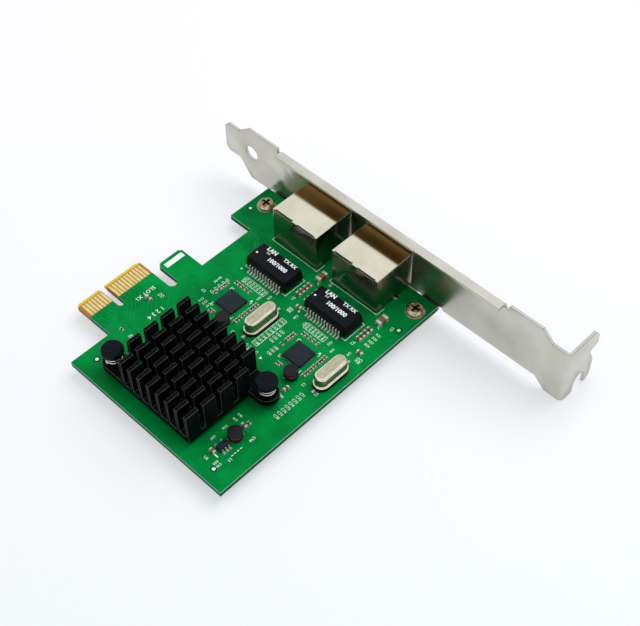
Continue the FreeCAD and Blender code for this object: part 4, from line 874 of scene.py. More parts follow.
def coil_grower(name: str, radius: float, height: float, wire: float, turns: float, steps: float, sides: int,
                finish: bpy.types.Material) -> Grower:
    """Build a tree that stands a round-wire coil on each point.

    Args:
        name: The tree's name.
        radius: Coil radius to the middle of the wire, in millimetres.
        height: Rise of the wire's middle over the whole coil, in millimetres.
        wire: Wire diameter, in millimetres.
        turns: Number of turns.
        steps: Points in each turn.
        sides: Sides of the wire.
        finish: The wire's material.

    Returns:
        The tree, ready to grow.
    """
    sizes = {"Radius": radius * MM, "Height": height * MM, "Wire": wire / 2 * MM, "Turns": turns,
             "Steps": steps}
    grower = Grower(name, sizes)
    nodes, given = grower.nodes, grower.given
    spiral = nodes.add("GeometryNodeCurveSpiral", {
        "Resolution": given["Steps"], "Rotations": given["Turns"], "Start Radius": given["Radius"],
        "End Radius": given["Radius"], "Height": given["Height"]})
    ring = nodes.add("GeometryNodeCurvePrimitiveCircle", {"Resolution": sides, "Radius": given["Wire"]})
    tube = nodes.add("GeometryNodeCurveToMesh", {
        "Curve": spiral.outputs[0], "Profile Curve": ring.outputs[0], "Fill Caps": True})
    placed = nodes.add("GeometryNodeInstanceOnPoints", {
        "Points": given["Geometry"], "Instance": tube.outputs[0]})
    grower.end(placed.outputs[0], finish)
    return grower


def bead_grower(name: str, finish: bpy.types.Material, detail: int = 2, smooth: bool = True) -> Grower:
    """Build a tree that sets a rounded bead of the point's own size on each point.

    Args:
        name: The tree's name.
        finish: The beads' material.
        detail: Subdivisions of a bead.
        smooth: Whether beads are shaded smooth.

    Returns:
        The tree, ready to grow.
    """
    grower = Grower(name, {"Fullness": 1.0})
    nodes, given = grower.nodes, grower.given
    bead = nodes.add("GeometryNodeMeshIcoSphere", {"Radius": given["Fullness"], "Subdivisions": detail})
    spread = nodes.add("GeometryNodeInputNamedAttribute", {"Name": "spread"}, data_type="FLOAT_VECTOR")
    placed = nodes.add("GeometryNodeInstanceOnPoints", {
        "Points": given["Geometry"], "Instance": bead.outputs[0], "Scale": spread.outputs[0]})
    grower.end(placed.outputs[0], finish, smooth)
    return grower


def outer_end(box: Box, body: Vector, axis: int) -> tuple[Vector, Vector]:
    """Find where the outer end of a lead or an end cap stands on the board.

    Args:
        box: Its low and high corner.
        body: Middle of the body that it belongs to.
        axis: The axis that it points along.

    Returns:
        The middle of its outer edge at the board's level, and the way it points.
    """
    middle = (box[0] + box[1]) / 2
    way = Vector((0.0, 0.0, 0.0))
    way[axis] = math.copysign(1.0, middle[axis] - body[axis])
    edge = Vector((middle.x, middle.y, 0.0))
    edge[axis] += way[axis] * (box[1][axis] - box[0][axis]) / 2
    return edge, way


@dataclass
class Assembly:
    """A sub-assembly of the card.

    Attributes:
        finishes: The card's finishes, by name.
    """

    finishes: Finishes

    def dress(self) -> None:
        """Build the sub-assembly's pieces."""
        raise NotImplementedError


# ---- Circuit board ----
class Board(Assembly):
    """The bare board and the contacts of its connector."""

    def dress(self) -> None:
        """Give both their finish."""
        Workshop.shade(self.finishes["solder_mask"], "circuit_board")
        Workshop.shade(self.finishes["gold_plate"], "edge_contacts")


@dataclass(frozen=True)
class Mark:
    """Lettering at one place.

    Attributes:
        words: What it says.
        x: Centre along the board.
        y: Centre up the board.
        height: Full height of a capital.
        turn: Angle in degrees.
    """

    words: str
    x: float
    y: float
    height: float
    turn: float = 0.0


@dataclass(frozen=True)
class Row:
    """Numbered marks in a row.

    Attributes:
        prefix: Letter before each number.
        first: First number.
        count: How many marks.
        start: Centre of the first mark.
        step: From one mark to the next.
        height: Full height of a capital.
        turn: Angle in degrees.
    """

    prefix: str
    first: int
    count: int
    start: Point
    step: Point
    height: float
    turn: float = 0.0

    def marks(self) -> list[Mark]:
        """Work out the row's marks.

        Returns:
            The marks in order.
        """
        (x, y), (across, up) = self.start, self.step
        return [Mark(f"{self.prefix}{self.first + number}", x + number * across, y + number * up,
                     self.height, self.turn) for number in range(self.count)]


@dataclass
class Legend(Assembly):
    """The white print on both faces.

    Attributes:
        ink: Width of a line.
        frame_ink: Width of the frames' lines.
        lettering: Share of a mark's full height that is printed.
        back_bold: Extra weight of the lettering on the solder face.
        dot: Diameter of a first-pin dot.
    """

    ink: float = 0.14
    frame_ink: float = 0.098
    lettering: float = 0.9
    back_bold: float = 0.02
    dot: float = 0.5

    MARKS = (
        Mark("C7", -42.2, 65.2, 0.9), Mark("C8", -42.2, 43.6, 0.9), Mark("C40\nC41", -28.95, 65.9, 0.85),
        Mark("U4", -28.85, 62.7, 0.85), Mark("T2", -32.15, 61.0, 0.95), Mark("T1", -32.15, 39.5, 0.95),
        Mark("C52", -28.0, 56.85, 0.75), Mark("R27", -28.0, 47.8, 0.75), Mark("C60", -28.15, 44.5, 0.75),
        Mark("R28\nR29", -28.8, 41.7, 0.75), Mark("C32", -28.0, 35.0, 0.75), Mark("R17", -27.6, 25.5, 0.75),
        Mark("R44", -26.7, 58.9, 0.7), Mark("R24", -25.9, 33.1, 0.7), Mark("Y2", -14.3, 65.4, 0.9),
        Mark("Y1", -14.3, 39.3, 0.9), Mark("L2", -14.2, 61.1, 0.85), Mark("L1", -13.5, 36.2, 0.85),
        Mark("C90", -7.95, 59.4, 0.8, 90), Mark("C94", 5.65, 63.55, 0.85), Mark("L3", 13.4, 63.95, 0.85),
        Mark("C95", 16.25, 63.1, 0.75), Mark("R95", 16.25, 62.0, 0.75), Mark("U6", 16.9, 59.4, 0.85, 90),
        Mark("R96", 2.95, 56.4, 0.75, 90), Mark("R97", 4.65, 56.4, 0.75, 90), Mark("C96", 7.85, 56.2, 0.75),
        Mark("C97", 11.85, 56.3, 0.75), Mark("R4 R5", -22.9, 20.5, 0.85), Mark("C3", -17.75, 20.6, 0.85, 90),
        Mark("1 2 3 4", -4.15, 17.15, 1.5), Mark("R1\nR2", 5.4, 18.6, 0.85),
        Mark("C1\nC2", -9.0, 13.7, 0.85), Mark("SLOT X1", -6.55, 10.2, 1.35),
    )
    ROWS = (
        Row("R", 31, 4, (-38.25, 64.2), (1.43, 0.0), 0.8, 90),
        Row("R", 11, 4, (-38.25, 42.6), (1.43, 0.0), 0.8, 90),
        Row("C", 71, 8, (-11.75, 63.1), (1.28, 0.0), 0.85, 90),
        Row("R", 45, 6, (-28.0, 54.5), (0.0, -1.1), 0.75),
        Row("R", 18, 7, (-28.0, 32.8), (0.0, -1.08), 0.75),
        Row("C", 61, 8, (-24.6, 43.15), (1.32, 0.0), 0.85, 90),
        Row("C", 53, 4, (-22.2, 45.5), (1.25, 0.0), 0.75, 90),
        Row("C", 80, 3, (-17.5, 48.0), (1.15, 0.0), 0.75, 90),
        Row("C", 21, 5, (-24.6, 22.6), (1.4, 0.0), 0.7, 90),
        Row("C", 12, 3, (-15.3, 22.4), (0.0, 1.4), 0.75),
        Row("C", 33, 4, (-12.9, 41.8), (0.0, 1.2), 0.75),
    )
    BACK_MARKS = (Mark("4 3 2 1", -16.0, 17.0, 1.4), Mark("J1", -36.5, 29.2, 1.2, 90),
                  Mark("J2", -36.5, 50.8, 1.2, 90))
    # left, right, lower and upper side of the frames round rows of marks
    FRAMES = ((-29.0, -27.05, 48.3, 55.3), (-29.0, -27.05, 25.7, 33.5), (-25.4, -14.6, 42.2, 44.1))
    # centre, width and height of the blank label, the ticks over the supply coil and the regulator's bar
    BLOCKS = ((-19.65, 6.95, 6.2, 1.6), (9.3, 63.45, 0.6, 0.2), (10.25, 63.45, 0.6, 0.2),
              (11.2, 63.45, 0.6, 0.2), (12.15, 63.45, 0.6, 0.2), (14.85, 60.75, 0.3, 1.2))
    ARROW = ((-13.1, 47.2), (-12.2, 47.2), (-12.65, 47.95))

    def dress(self) -> None:
        """Print the component face, then the solder face."""
        art = Artwork(Face.COMPONENT)
        for mark in (*self.MARKS, *(mark for row in self.ROWS for mark in row.marks())):
            art.text(mark.words, mark.x, mark.y, mark.height * self.lettering, mark.turn)
        for port in PORTS:
            self.port_outline(art, Workshop.middle(port + "_shield").y)
            self.transformer_outline(art, Workshop.middle(port + "_transformer").y)
        for controller in CONTROLLERS:
            self.controller_marks(art, Workshop.middle(controller))
        for left, right, low, high in self.FRAMES:
            art.line([(left, low), (right, low), (right, high), (left, high), (left, low)], self.frame_ink)
        for block in self.BLOCKS:
            art.block(*block)
        art.prism(list(self.ARROW))
        art.piece("legend", self.finishes["legend_ink"], "board")
        back = Artwork(Face.SOLDER)
        for mark in self.BACK_MARKS:
            back.text(mark.words, mark.x, mark.y, mark.height, mark.turn, self.back_bold)
        for port in PORTS:
            middle, edge, half = Workshop.middle(port + "_shield").y, -43.05, 8.1
            back.line([(edge, middle - half), (edge, middle + half)], self.ink)
        back.piece("back_legend", self.finishes["legend_ink"], "board")

    def port_outline(self, art: Artwork, middle: float) -> None:
        """Draw the corner lines behind one port and the short curve beside them.

        Args:
            art: The legend.
            middle: Height of the port's middle.
        """
        half, edge, stub = 8.45, -43.0, 3.0
        curve = ((-40.7, 11.2), (-40.1, 11.6), (-39.9, 12.1))
        for side in (-half, half):
            art.line([(edge - stub, middle + side), (edge, middle + side)], self.ink)
        art.line([(edge, middle - half), (edge, middle + half)], self.ink)
        art.line([(x, middle + up) for x, up in curve], self.ink)

    def transformer_outline(self, art: Artwork, middle: float) -> None:
        """Draw the outline round one transformer, with its first-pin dot.

        Args:
            art: The legend.
            middle: Height of the transformer's middle.
        """
        left, right, half, corner = -38.5, -31.3, 7.6, 1.3
        dot = (-30.0, -7.7)
        for side in (-1, 1):
            y = middle + side * half
            art.line([(left, y - side * corner), (left, y), (right, y), (right, y - side * corner)], self.ink)
        art.disc(dot[0], middle + dot[1], self.dot)

    def controller_marks(self, art: Artwork, middle: Vector) -> None:
        """Draw the corner angles and first-pin dot of one controller.

        Args:
            art: The legend.
            middle: The controller's middle.
        """
        reach, arm = 3.75, 0.8
        dot = Vector((-4.1, 3.4, 0.0))
        for along in (-1, 1):
            for up in (-1, 1):
                x, y = middle.x + along * reach, middle.y + up * reach
                art.line([(x - along * arm, y), (x, y), (x, y - up * arm)], self.ink)
        art.disc(*(middle + dot).xy, self.dot)


@dataclass(frozen=True)
class Fan:
    """Tracks that leave a row of contacts, bend one after another and run up the board side by side.

    Attributes:
        contacts: Place of each contact along the connector.
        bend: Height of the first bend, and the step to the next.
        lane: Place of the first lane, and the step to the next.
        end: Height of the first lane's end, and the step to the next.
        stubs: Numbers of the contacts whose track stops short.
    """

    contacts: tuple[float, ...]
    bend: Point
    lane: Point
    end: Point
    stubs: tuple[int, ...] = ()

    START = 5.9
    STUB = (7.4, 0.1)

    @staticmethod
    def at(number: int, places: Point) -> float:
        """Give a track's place from the first one's and the step."""
        return places[0] + number * places[1]

    def routes(self) -> list[list[Point]]:
        """Work out each track.

        Returns:
            The points of each track.
        """
        routes = []
        for number, x in enumerate(self.contacts):
            if number in self.stubs:
                routes.append([(x, self.START), (x, self.at(number, self.STUB))])
                continue
            bend, lane, end = (self.at(number, places) for places in (self.bend, self.lane, self.end))
            routes.append([(x, self.START), (x, bend), (lane, bend + abs(lane - x)), (lane, end)])
        return routes


@dataclass(frozen=True)
class Bundle:
    """Tracks that repeat one route at an even step.

    Attributes:
        points: Points of the first track.
        step: From one track to the next.
        count: How many tracks.
    """

    points: tuple[Point, ...]
    step: Point
    count: int

    def routes(self) -> list[list[Point]]:
        """Give the points of each track."""
        return [[(x + number * self.step[0], y + number * self.step[1]) for x, y in self.points]
                for number in range(self.count)]


@dataclass
class Tracks(Assembly):
    """The signal tracks that show through the mask on both faces.

    Attributes:
        width: Width of a signal track.
        fine: Width of a track at a controller.
        broad: Width of a supply track.
        thickness: How far a track lifts the mask.
        transformer_pins: Pins on one side of a transformer.
        land_pitch: Pitch of a controller's lands.
        port_pins: Pins of a port.
        port_pitch: Their pitch.
    """

    width: float = 0.2
    fine: float = 0.15
    broad: float = 0.3
    thickness: float = 0.012
    transformer_pins: int = 12
    land_pitch: float = 0.4
    port_pins: int = 8
    port_pitch: float = 1.02

    LEFT_CONTACTS = tuple(-1.5 - number for number in range(11))
    RIGHT_CONTACTS = tuple(1.5 + number for number in range(7))
    FRONT_FANS = (Fan(LEFT_CONTACTS, (9.0, 0.5), (3.0, -0.62), (27.0, 0.0), (3, 4, 8, 9)),
                  Fan(RIGHT_CONTACTS, (8.6, 0.55), (4.4, 0.62), (27.0, 0.0)))
    BACK_FAN = Fan(LEFT_CONTACTS + RIGHT_CONTACTS, (8.5, 0.45), (-6.5, 0.9), (21.0, 1.9))
    CLOCK_LINES = Bundle(((-14.6, 45.2), (-12.0, 45.2), (-10.4, 43.6), (-8.0, 43.6)), (0.0, 0.55), 6)
    CORNER_LINES = Bundle(((-41.0, 14.0), (-41.0, 17.5), (-38.8, 19.7)), (0.6, 0.0), 4)

    def dress(self) -> None:
        """Etch the component face, then the solder face."""
        front = Artwork(Face.COMPONENT, self.thickness)
        for group in self.FRONT_FANS:
            front.lines(group.routes(), self.width)
        for port in PORTS:
            front.lines(self.port_lines(port), self.width)
        for controller, port in zip(CONTROLLERS, PORTS):
            front.lines(self.controller_lines(controller, port), self.fine)
        for group in (self.CLOCK_LINES, self.CORNER_LINES):
            front.lines(group.routes(), self.width)
        front.piece("masked_tracks", self.finishes["masked_track"], "board")
        back = Artwork(Face.SOLDER, self.thickness)
        back.lines(self.BACK_FAN.routes(), self.width)
        for port in PORTS:
            back.lines(self.back_port_lines(port), self.width)
        back.lines(self.supply_lines(), self.broad)
        back.piece("back_tracks", self.finishes["masked_track"], "board")

    def port_lines(self, port: str) -> list[list[Point]]:
        """Close up the tracks from a transformer's pins towards its port.

        Args:
            port: The port's name.

        Returns:
            The points of each track.
        """
        start, bend, end, closing = -39.4, -40.4, -43.6, 0.25
        middle = Workshop.middle(port + "_transformer").y
        routes = []
        for offset in centred(self.transformer_pins):
            y, shift = middle + offset, closing * offset
            routes.append([(start, y), (bend, y), (bend - abs(shift), y - shift), (end, y - shift)])
        return routes

    def controller_lines(self, controller: str, port: str) -> list[list[Point]]:
        """Spread the tracks from a controller's lands towards a transformer's pins.

        Args:
            controller: The controller's name.
            port: The name of the port behind the transformer.

        Returns:
            The points of each track.
        """
        start, bend, bend_step, end, longest = -23.2, -24.6, 0.16, -29.9, 3.2
        low, high = Workshop.middle(controller).y, Workshop.middle(port + "_transformer").y
        routes = []
        for offset in centred(self.transformer_pins):
            y, aim = low + offset * self.land_pitch, high + offset
            turn = bend - bend_step * abs(offset)
            reach = min(abs(aim - y), longest)
            stop = y + math.copysign(reach, aim - y)
            routes.append([(start, y), (turn, y), (turn - reach, stop), (end, stop)])
        return routes

    def back_port_lines(self, port: str) -> list[list[Point]]:
        """Spread the tracks from a port's pins on the solder face.

        Args:
            port: The port's name.

        Returns:
            The points of each track.
        """
        start, bend, spread, end, opening = -43.6, -41.5, -39.6, -33.0, 0.5
        middle = Workshop.middle(port + "_shield").y
        routes = []
        for offset in centred(self.port_pins):
            y = middle + offset * self.port_pitch
            lane = y + offset * opening
            routes.append([(start, y), (bend, y), (spread, lane), (end, lane)])
        return routes

    def supply_lines(self) -> list[list[Point]]:
        """Draw the supply tracks across the solder face.

        Returns:
            The points of each track.
        """
        count, low, step, rise = 9, 19.5, 5.1, 3.0
        start, bend, end = -28.0, -22.0, -9.0
        routes = []
        for number in range(count):
            y, turn = low + number * step, bend - number
            routes.append([(start, y), (turn, y), (turn + rise, y + rise), (end, y + rise)])
        return routes


@dataclass
class Pads(Assembly):
    """The bare pads: chip pads, screw rings, fiducials and the rings round the holes.

    Attributes:
        thickness: How far a pad stands up.
        margin: How far a chip pad runs past the chip's end, both sides together.
        screw_ring: Outer and inner diameter of the ring under a screw.
        fiducials: Places of the fiducial dots.
        fiducial: Diameter of a dot.
        opening: Outer and inner diameter of the mask's opening round it.
        opening_depth: How far the opening's ring stands up.
        port_ring: Diameters of the ring round a port's pin.
        peg_ring: Diameters of the ring round a port's peg.
        pegs: Place of the pegs, along the card and from the port's middle.
        push_pin_ring: Diameters of the ring round a push pin.
    """

    thickness: float = 0.014
    margin: float = 0.3
    screw_ring: Point = (5.4, 2.82)
    fiducials: tuple[Point, ...] = ((-43.15, 66.8), (-47.05, 7.9), (16.05, 17.8), (17.75, 63.0))
    fiducial: float = 0.95
    opening: Point = (1.8, 0.97)
    opening_depth: float = 0.01
    port_ring: Point = (1.75, 0.9)
    peg_ring: Point = (2.9, 1.8)
    pegs: Point = (-50.96, 7.88)
    push_pin_ring: Point = (5.4, 3.2)

    # body, the axis that its leads point along, how far the pad's middle lies inside, its length and width
    LEAD_PADS = (("port_1_transformer", 0, 0.45, 1.3, 0.6), ("port_2_transformer", 0, 0.45, 1.3, 0.6),
                 ("voltage_regulator", 1, 0.2, 0.9, 0.6))

    def dress(self) -> None:
        """Plate the component face, then the solder face."""
        front = Artwork(Face.COMPONENT, self.thickness)
        for x, y in SCREWS:
            front.disc(x, y, *self.screw_ring, sides=36)
        for name in CHIP_COMPONENTS:
            for low, high in Workshop.islands(name + "_ends"):
                x, y, _ = (low + high) / 2
                front.block(x, y, high.x - low.x + self.margin, high.y - low.y + self.margin)
        for body, axis, inset, length, width in self.LEAD_PADS:
            for box in Workshop.islands(body + "_leads"):
                edge, way = outer_end(box, Workshop.middle(body), axis)
                x, y, _ = edge - way * inset
                front.block(x, y, *((width, length) if axis else (length, width)))
        front.piece("bare_pads", self.finishes["tinned"], "tinned_metal")
        rings = Artwork(Face.COMPONENT, self.opening_depth)
        dots = Artwork(Face.COMPONENT, self.thickness)
        for x, y in self.fiducials:
            rings.disc(x, y, *self.opening)
            dots.disc(x, y, self.fiducial)
        rings.piece("mask_openings", self.finishes["mask_shadow"], "board")
        dots.piece("fiducials", self.finishes["fiducial_tin"], "tinned_metal")
        self.back()

    def back(self) -> None:
        """Ring the holes on the solder face."""
        art = Artwork(Face.SOLDER, self.thickness)
        for low, high in Workshop.islands("port_solder"):
            art.disc(*((low + high) / 2).xy, *self.port_ring)
        along, up = self.pegs
        for port in PORTS:
            middle = Workshop.middle(port + "_shield").y
            for side in (-up, up):
                art.disc(along, middle + side, *self.peg_ring)
        for low, high in Workshop.islands("push_pins"):
            art.disc(*((low + high) / 2).xy, *self.push_pin_ring, sides=32)
        art.piece("back_pads", self.finishes["tinned"], "tinned_metal")


@dataclass
class Vias(Assembly):
    """Covered vias in the open parts of both faces.

    Attributes:
        solids: Names of the card's solids.
        radius: Radius of a via.
        rise: How far it stands up.
        apart: Least distance between two vias.
        clear: Least distance to a part.
        tries: How many places are tried.
        start: Low left corner of the tried area.
        size: Its width and height.
        hook: Right end and height of the strip beside the hook, where the board ends.
        shoulder: Left end and height of the strip beside the connector, where the board ends.
        neck: Left and right side of the connector's neck.
    """

    solids: tuple[str, ...] = ()
    radius: float = 0.31
    rise: float = 0.022
    apart: float = 1.9
    clear: float = 0.7
    tries: int = 900
    start: Point = (-41.5, 8.0)
    size: Point = (61.0, 59.5)
    hook: Point = (-14.0, 14.5)
    shoulder: Point = (-24.0, 14.8)
    neck: Point = (-11.5, 7.5)

    # share of the area's width and height from one try to the next, which fills it evenly
    STEPS = (0.6180339887, 0.7548776662)
    # how the names start of solids that vias may lie beside
    OPEN = ("circuit_board", "edge_contacts", "bracket", "heatsink", "push_pins", "pin_springs",
            "port_solder", "small_", "chip_", "isolation_")

    def dress(self) -> None:
        """Set a via at every second place that is free."""
        places = self.places()[::2]
        both = places + [place - Vector((0.0, 0.0, BOARD_THICKNESS)) for place in places]
        grower = bead_grower("covered_vias", self.finishes["masked_track"], detail=1, smooth=False)
        mesh = grower.grow(both, [Vector((self.radius, self.radius, self.rise))] * len(both))
        Workshop.piece("covered_vias", mesh, None, "board")

    def on_board(self, x: float, y: float) -> bool:
        """Tell whether a place lies on the board.

        Args:
            x: Place along the board.
            y: Place up the board.

        Returns:
            Whether it is off the strips beside the hook and the connector.
        """
        by_hook = x < self.hook[0] and y < self.hook[1]
        by_shoulder = x > self.shoulder[0] and y < self.shoulder[1] and not self.neck[0] < x < self.neck[1]
        return not (by_hook or by_shoulder)

    def places(self) -> list[Vector]:
        """Find the free places.

        Returns:
            Places on the component face.
        """
        room = Vector((self.clear, self.clear, 0.0))
        boxes = [Workshop.box(solid) for solid in self.solids if not solid.startswith(self.OPEN)]
        parts = [(low - room, high + room) for low, high in boxes]
        places: list[Vector] = []
        for number in range(self.tries):
            x, y = (low + (number * step % 1.0) * size
                    for low, step, size in zip(self.start, self.STEPS, self.size))
            taken = any(low.x < x < high.x and low.y < y < high.y for low, high in parts)
            crowded = any(math.hypot(x - other.x, y - other.y) <= self.apart for other in places)
            if self.on_board(x, y) and not taken and not crowded:
                places.append(Vector((x, y, 0.0)))
        return places


# ---- Bracket and ports ----
@dataclass
class BracketSet(Assembly):
    """The sheet-steel bracket with its two screws.

    Attributes:
        sheared: Rounding of the bracket's sheared edges.
        head: Rounding of the screw heads.
        recess: Length and width of one arm of a screw's cross, filled dark as painted shade.
        recess_floor: Height of the cross's floor above the board.
        shade_fill_depth: Thickness of the dark fill in the cross, a painted shade.
    """

    sheared: float = 0.12
    head: float = 0.18
    recess: Point = (2.86, 0.66)
    recess_floor: float = 0.62
    shade_fill_depth: float = 0.5

    def dress(self) -> None:
        """Build the bracket's pieces."""
        Workshop.softened("bracket", self.finishes["bracket_nickel"], "bracket_steel", self.sheared,
                          edge_wear_and_light=self.finishes["bracket_edge"])
        Workshop.softened("bracket_screws", self.finishes["screw_bronze"], "screw_steel", self.head,
                          segments=3)
        # Painted shade: dark crosses fill the screws' recesses
        art = Artwork(Face.COMPONENT, self.shade_fill_depth, self.recess_floor)
        length, width = self.recess
        for x, y in SCREWS:
            art.block(x, y, length, width)
            art.block(x, y, width, length)
        art.piece("screw_recess_shade", self.finishes["crystal_seat"], "screw_steel")


@dataclass
class Ports(Assembly):
    """Two shielded jacks, their contacts, lamps and solder.

    Attributes:
        fold: Rounding of a shield's folds.
        bead: Rounding of a solder joint.
        slit_shade_rise: How far a dark strip of painted shade over a slit stands out of the shield.
    """

    fold: float = 0.06
    bead: float = 0.12
    slit_shade_rise: float = 0.015

    # dark strips of painted shade over the slits: start and end across the shield, width from its rear edge
    SLIT_SHADES = ((-7.0, -1.3, 0.4), (-1.3, -0.9, 0.6), (1.0, 7.2, 0.26))

    def dress(self) -> None:
        """Build the jacks' pieces."""
        for port in PORTS:
            Workshop.softened(port + "_shield", self.finishes["shield_tin"], "shield_nickel", self.fold,
                              edge_wear_and_light=self.finishes["shield_edge"])
            Workshop.shade(self.finishes["housing_black"], port + "_housing")
            Workshop.shade(self.finishes["gold_plate"], port + "_contacts")
            Workshop.shade(self.finishes["green_lens"], port + "_link_lamp")
            Workshop.shade(self.finishes["amber_lens"], port + "_activity_lamp")
            self.paint_slit_shade(port)
        Workshop.softened("port_solder", self.finishes["solder"], "tinned_metal", self.bead)

    def paint_slit_shade(self, port: str) -> None:
        """Paint shade over the slits along the rear edge of a shield's top, as dark strips.

        Args:
            port: The port's name.
        """
        low, high = Workshop.box(port + "_shield")
        middle = (low.y + high.y) / 2
        art = Artwork(Face.COMPONENT, self.slit_shade_rise, high.z)
        for start, end, width in self.SLIT_SHADES:
            art.block(high.x - width / 2, middle + (start + end) / 2, width, end - start)
        art.piece(port + "_shield_slit_shade", self.finishes["housing_black"], "shield_nickel")


@dataclass
class Transformers(Assembly):
    """The two line transformers with their leads and printed tops.

    Attributes:
        corner: Rounding of a body's edges.
        print_rise: Thickness of the print.
        print_sink: How deep it starts inside the body.
        dot: Place of the first-pin dot, along the card and up from the body's middle.
        dot_size: Its diameter.
    """

    corner: float = 0.16
    print_rise: float = 0.03
    print_sink: float = 0.005
    dot: Point = (-34.4, -6.0)
    dot_size: float = 0.6

    # words, along the card, up from the body's middle, capital height, extra weight
    LINES = (("LAN", -37.35, -3.1, 1.25, 0.09), ("TX RX", -37.4, 3.4, 1.1, 0.05),
             ("1:1", -36.15, -3.4, 0.75, 0.03), ("100/1000", -34.75, 1.2, 1.3, 0.06))

    def dress(self) -> None:
        """Build the transformers' pieces."""
        bodies = [port + "_transformer" for port in PORTS]
        for body in bodies:
            Workshop.softened(body, self.finishes["transformer_black"], "transformer_plastic", self.corner,
                              segments=3)
            Workshop.shade(self.finishes["tinned_ends"], body + "_leads")
        art = Artwork(Face.COMPONENT, self.print_rise, Workshop.box(bodies[0])[1].z - self.print_sink)
        for body in bodies:
            middle = Workshop.middle(body).y
            for words, along, up, height, bold in self.LINES:
                art.text(words, along, middle + up, height, turn=90, bold=bold)
            art.disc(self.dot[0], middle + self.dot[1], self.dot_size)
        art.piece("transformer_print", self.finishes["marking_ink"], "transformer_plastic")


# ---- Chips, crystals and coils ----
@dataclass
class Chips(Assembly):
    """Controllers, cooled chip and voltage regulator.

    Attributes:
        corner: Rounding of a package's edges.
        dimple: Outer and inner diameter of the first-pin dimple's rim.
        dimple_place: Its place from the chip's middle.
        dimple_rise: Thickness of the rim.
        dimple_sink: How deep it starts inside the package.
    """

    corner: float = 0.06
    dimple: Point = (0.7, 0.504)
    dimple_place: Point = (-2.2, 2.2)
    dimple_rise: float = 0.012
    dimple_sink: float = 0.01

    def dress(self) -> None:
        """Build the chips' pieces."""
        for chip in (*CONTROLLERS, "voltage_regulator"):
            Workshop.softened(chip, self.finishes["chip_slate"], "chip_package", self.corner)
        Workshop.shade(self.finishes["chip_slate"], "bridge_chip")
        Workshop.shade(self.finishes["thermal_pad"], "thermal_pad")
        Workshop.shade(self.finishes["tinned"], "controller_1_lands", "controller_2_lands",
                       "bridge_chip_lands", "voltage_regulator_leads")
        top = Workshop.box(CONTROLLERS[0])[1].z
        art = Artwork(Face.COMPONENT, self.dimple_rise, top - self.dimple_sink)
        for controller in CONTROLLERS:
            x, y = Workshop.middle(controller).xy + Vector(self.dimple_place)
            art.disc(x, y, *self.dimple)
        art.piece("pin_one_rings", self.finishes["resistor_film"], "chip_package")


@dataclass
class Crystals(Assembly):
    """The two metal-can crystals on their insulating seats.

    Attributes:
        shoulder: Rounding of a can's edges.
        seat_steps: Steps of a seat's round end.
    """

    shoulder: float = 0.22
    seat_steps: int = 12

    def dress(self) -> None:
        """Build the crystals' pieces."""
        for crystal in ("crystal_1", "crystal_2"):
            Workshop.softened(crystal + "_can", self.finishes["crystal_steel"], "crystal_can",
                              self.shoulder, segments=4, edge_wear_and_light=self.finishes["crystal_rim"])
            self.seat(crystal + "_seat")
            Workshop.shade(self.finishes["tinned"], crystal + "_leads")

    def seat(self, solid: str) -> None:
        """Stand a round-ended seat in a seat's place.

        Args:
            solid: The seat's name.
        """
        low, high = Workshop.box(solid)
        radius, middle = (high.y - low.y) / 2, (high.y + low.y) / 2
        half_turn = [180 * step / self.seat_steps - 90 for step in range(self.seat_steps + 1)]
        right = Artwork.arc(high.x - radius, middle, radius, half_turn)
        left = Artwork.arc(low.x + radius, middle, radius, [angle + 180 for angle in half_turn])
        art = Artwork(Face.COMPONENT, high.z - low.z, low.z)
        art.prism(right + left)
        art.piece(solid + "_rounded", self.finishes["crystal_seat"], "crystal_seat", (solid,))


@dataclass
class Coils(Assembly):
    """Three drum-core inductors with round enamelled wire.

    Attributes:
        wire: Wire diameter.
        steps: Points in each turn.
        sides: Sides of the wire.
        flange: Rounding of a core's edges.
    """

    wire: float = 0.183
    steps: int = 40
    sides: int = 8
    flange: float = 0.12

    def dress(self) -> None:
        """Build the coils' pieces."""
        low, high = Workshop.box("supply_inductor_winding")
        radius, window = (high.x - low.x) / 2, high.z - low.z
        turns = window / self.wire - 1
        grower = coil_grower("winding", radius - self.wire / 2, window - self.wire, self.wire, turns,
                             self.steps, self.sides, self.finishes["enamelled_copper"])
        for name in (*CONTROLLERS, "supply"):
            coil = name + "_inductor"
            Workshop.softened(coil + "_core", self.finishes["ferrite"], "ferrite", self.flange, segments=3)
            Workshop.shade(self.finishes["tinned"], coil + "_terminals")
            x, y, _ = Workshop.middle(coil + "_winding")
            mesh = grower.grow([Vector((x, y, low.z + self.wire / 2))])
            Workshop.piece(coil + "_turns", mesh, None, "copper_wire", (coil + "_winding",))


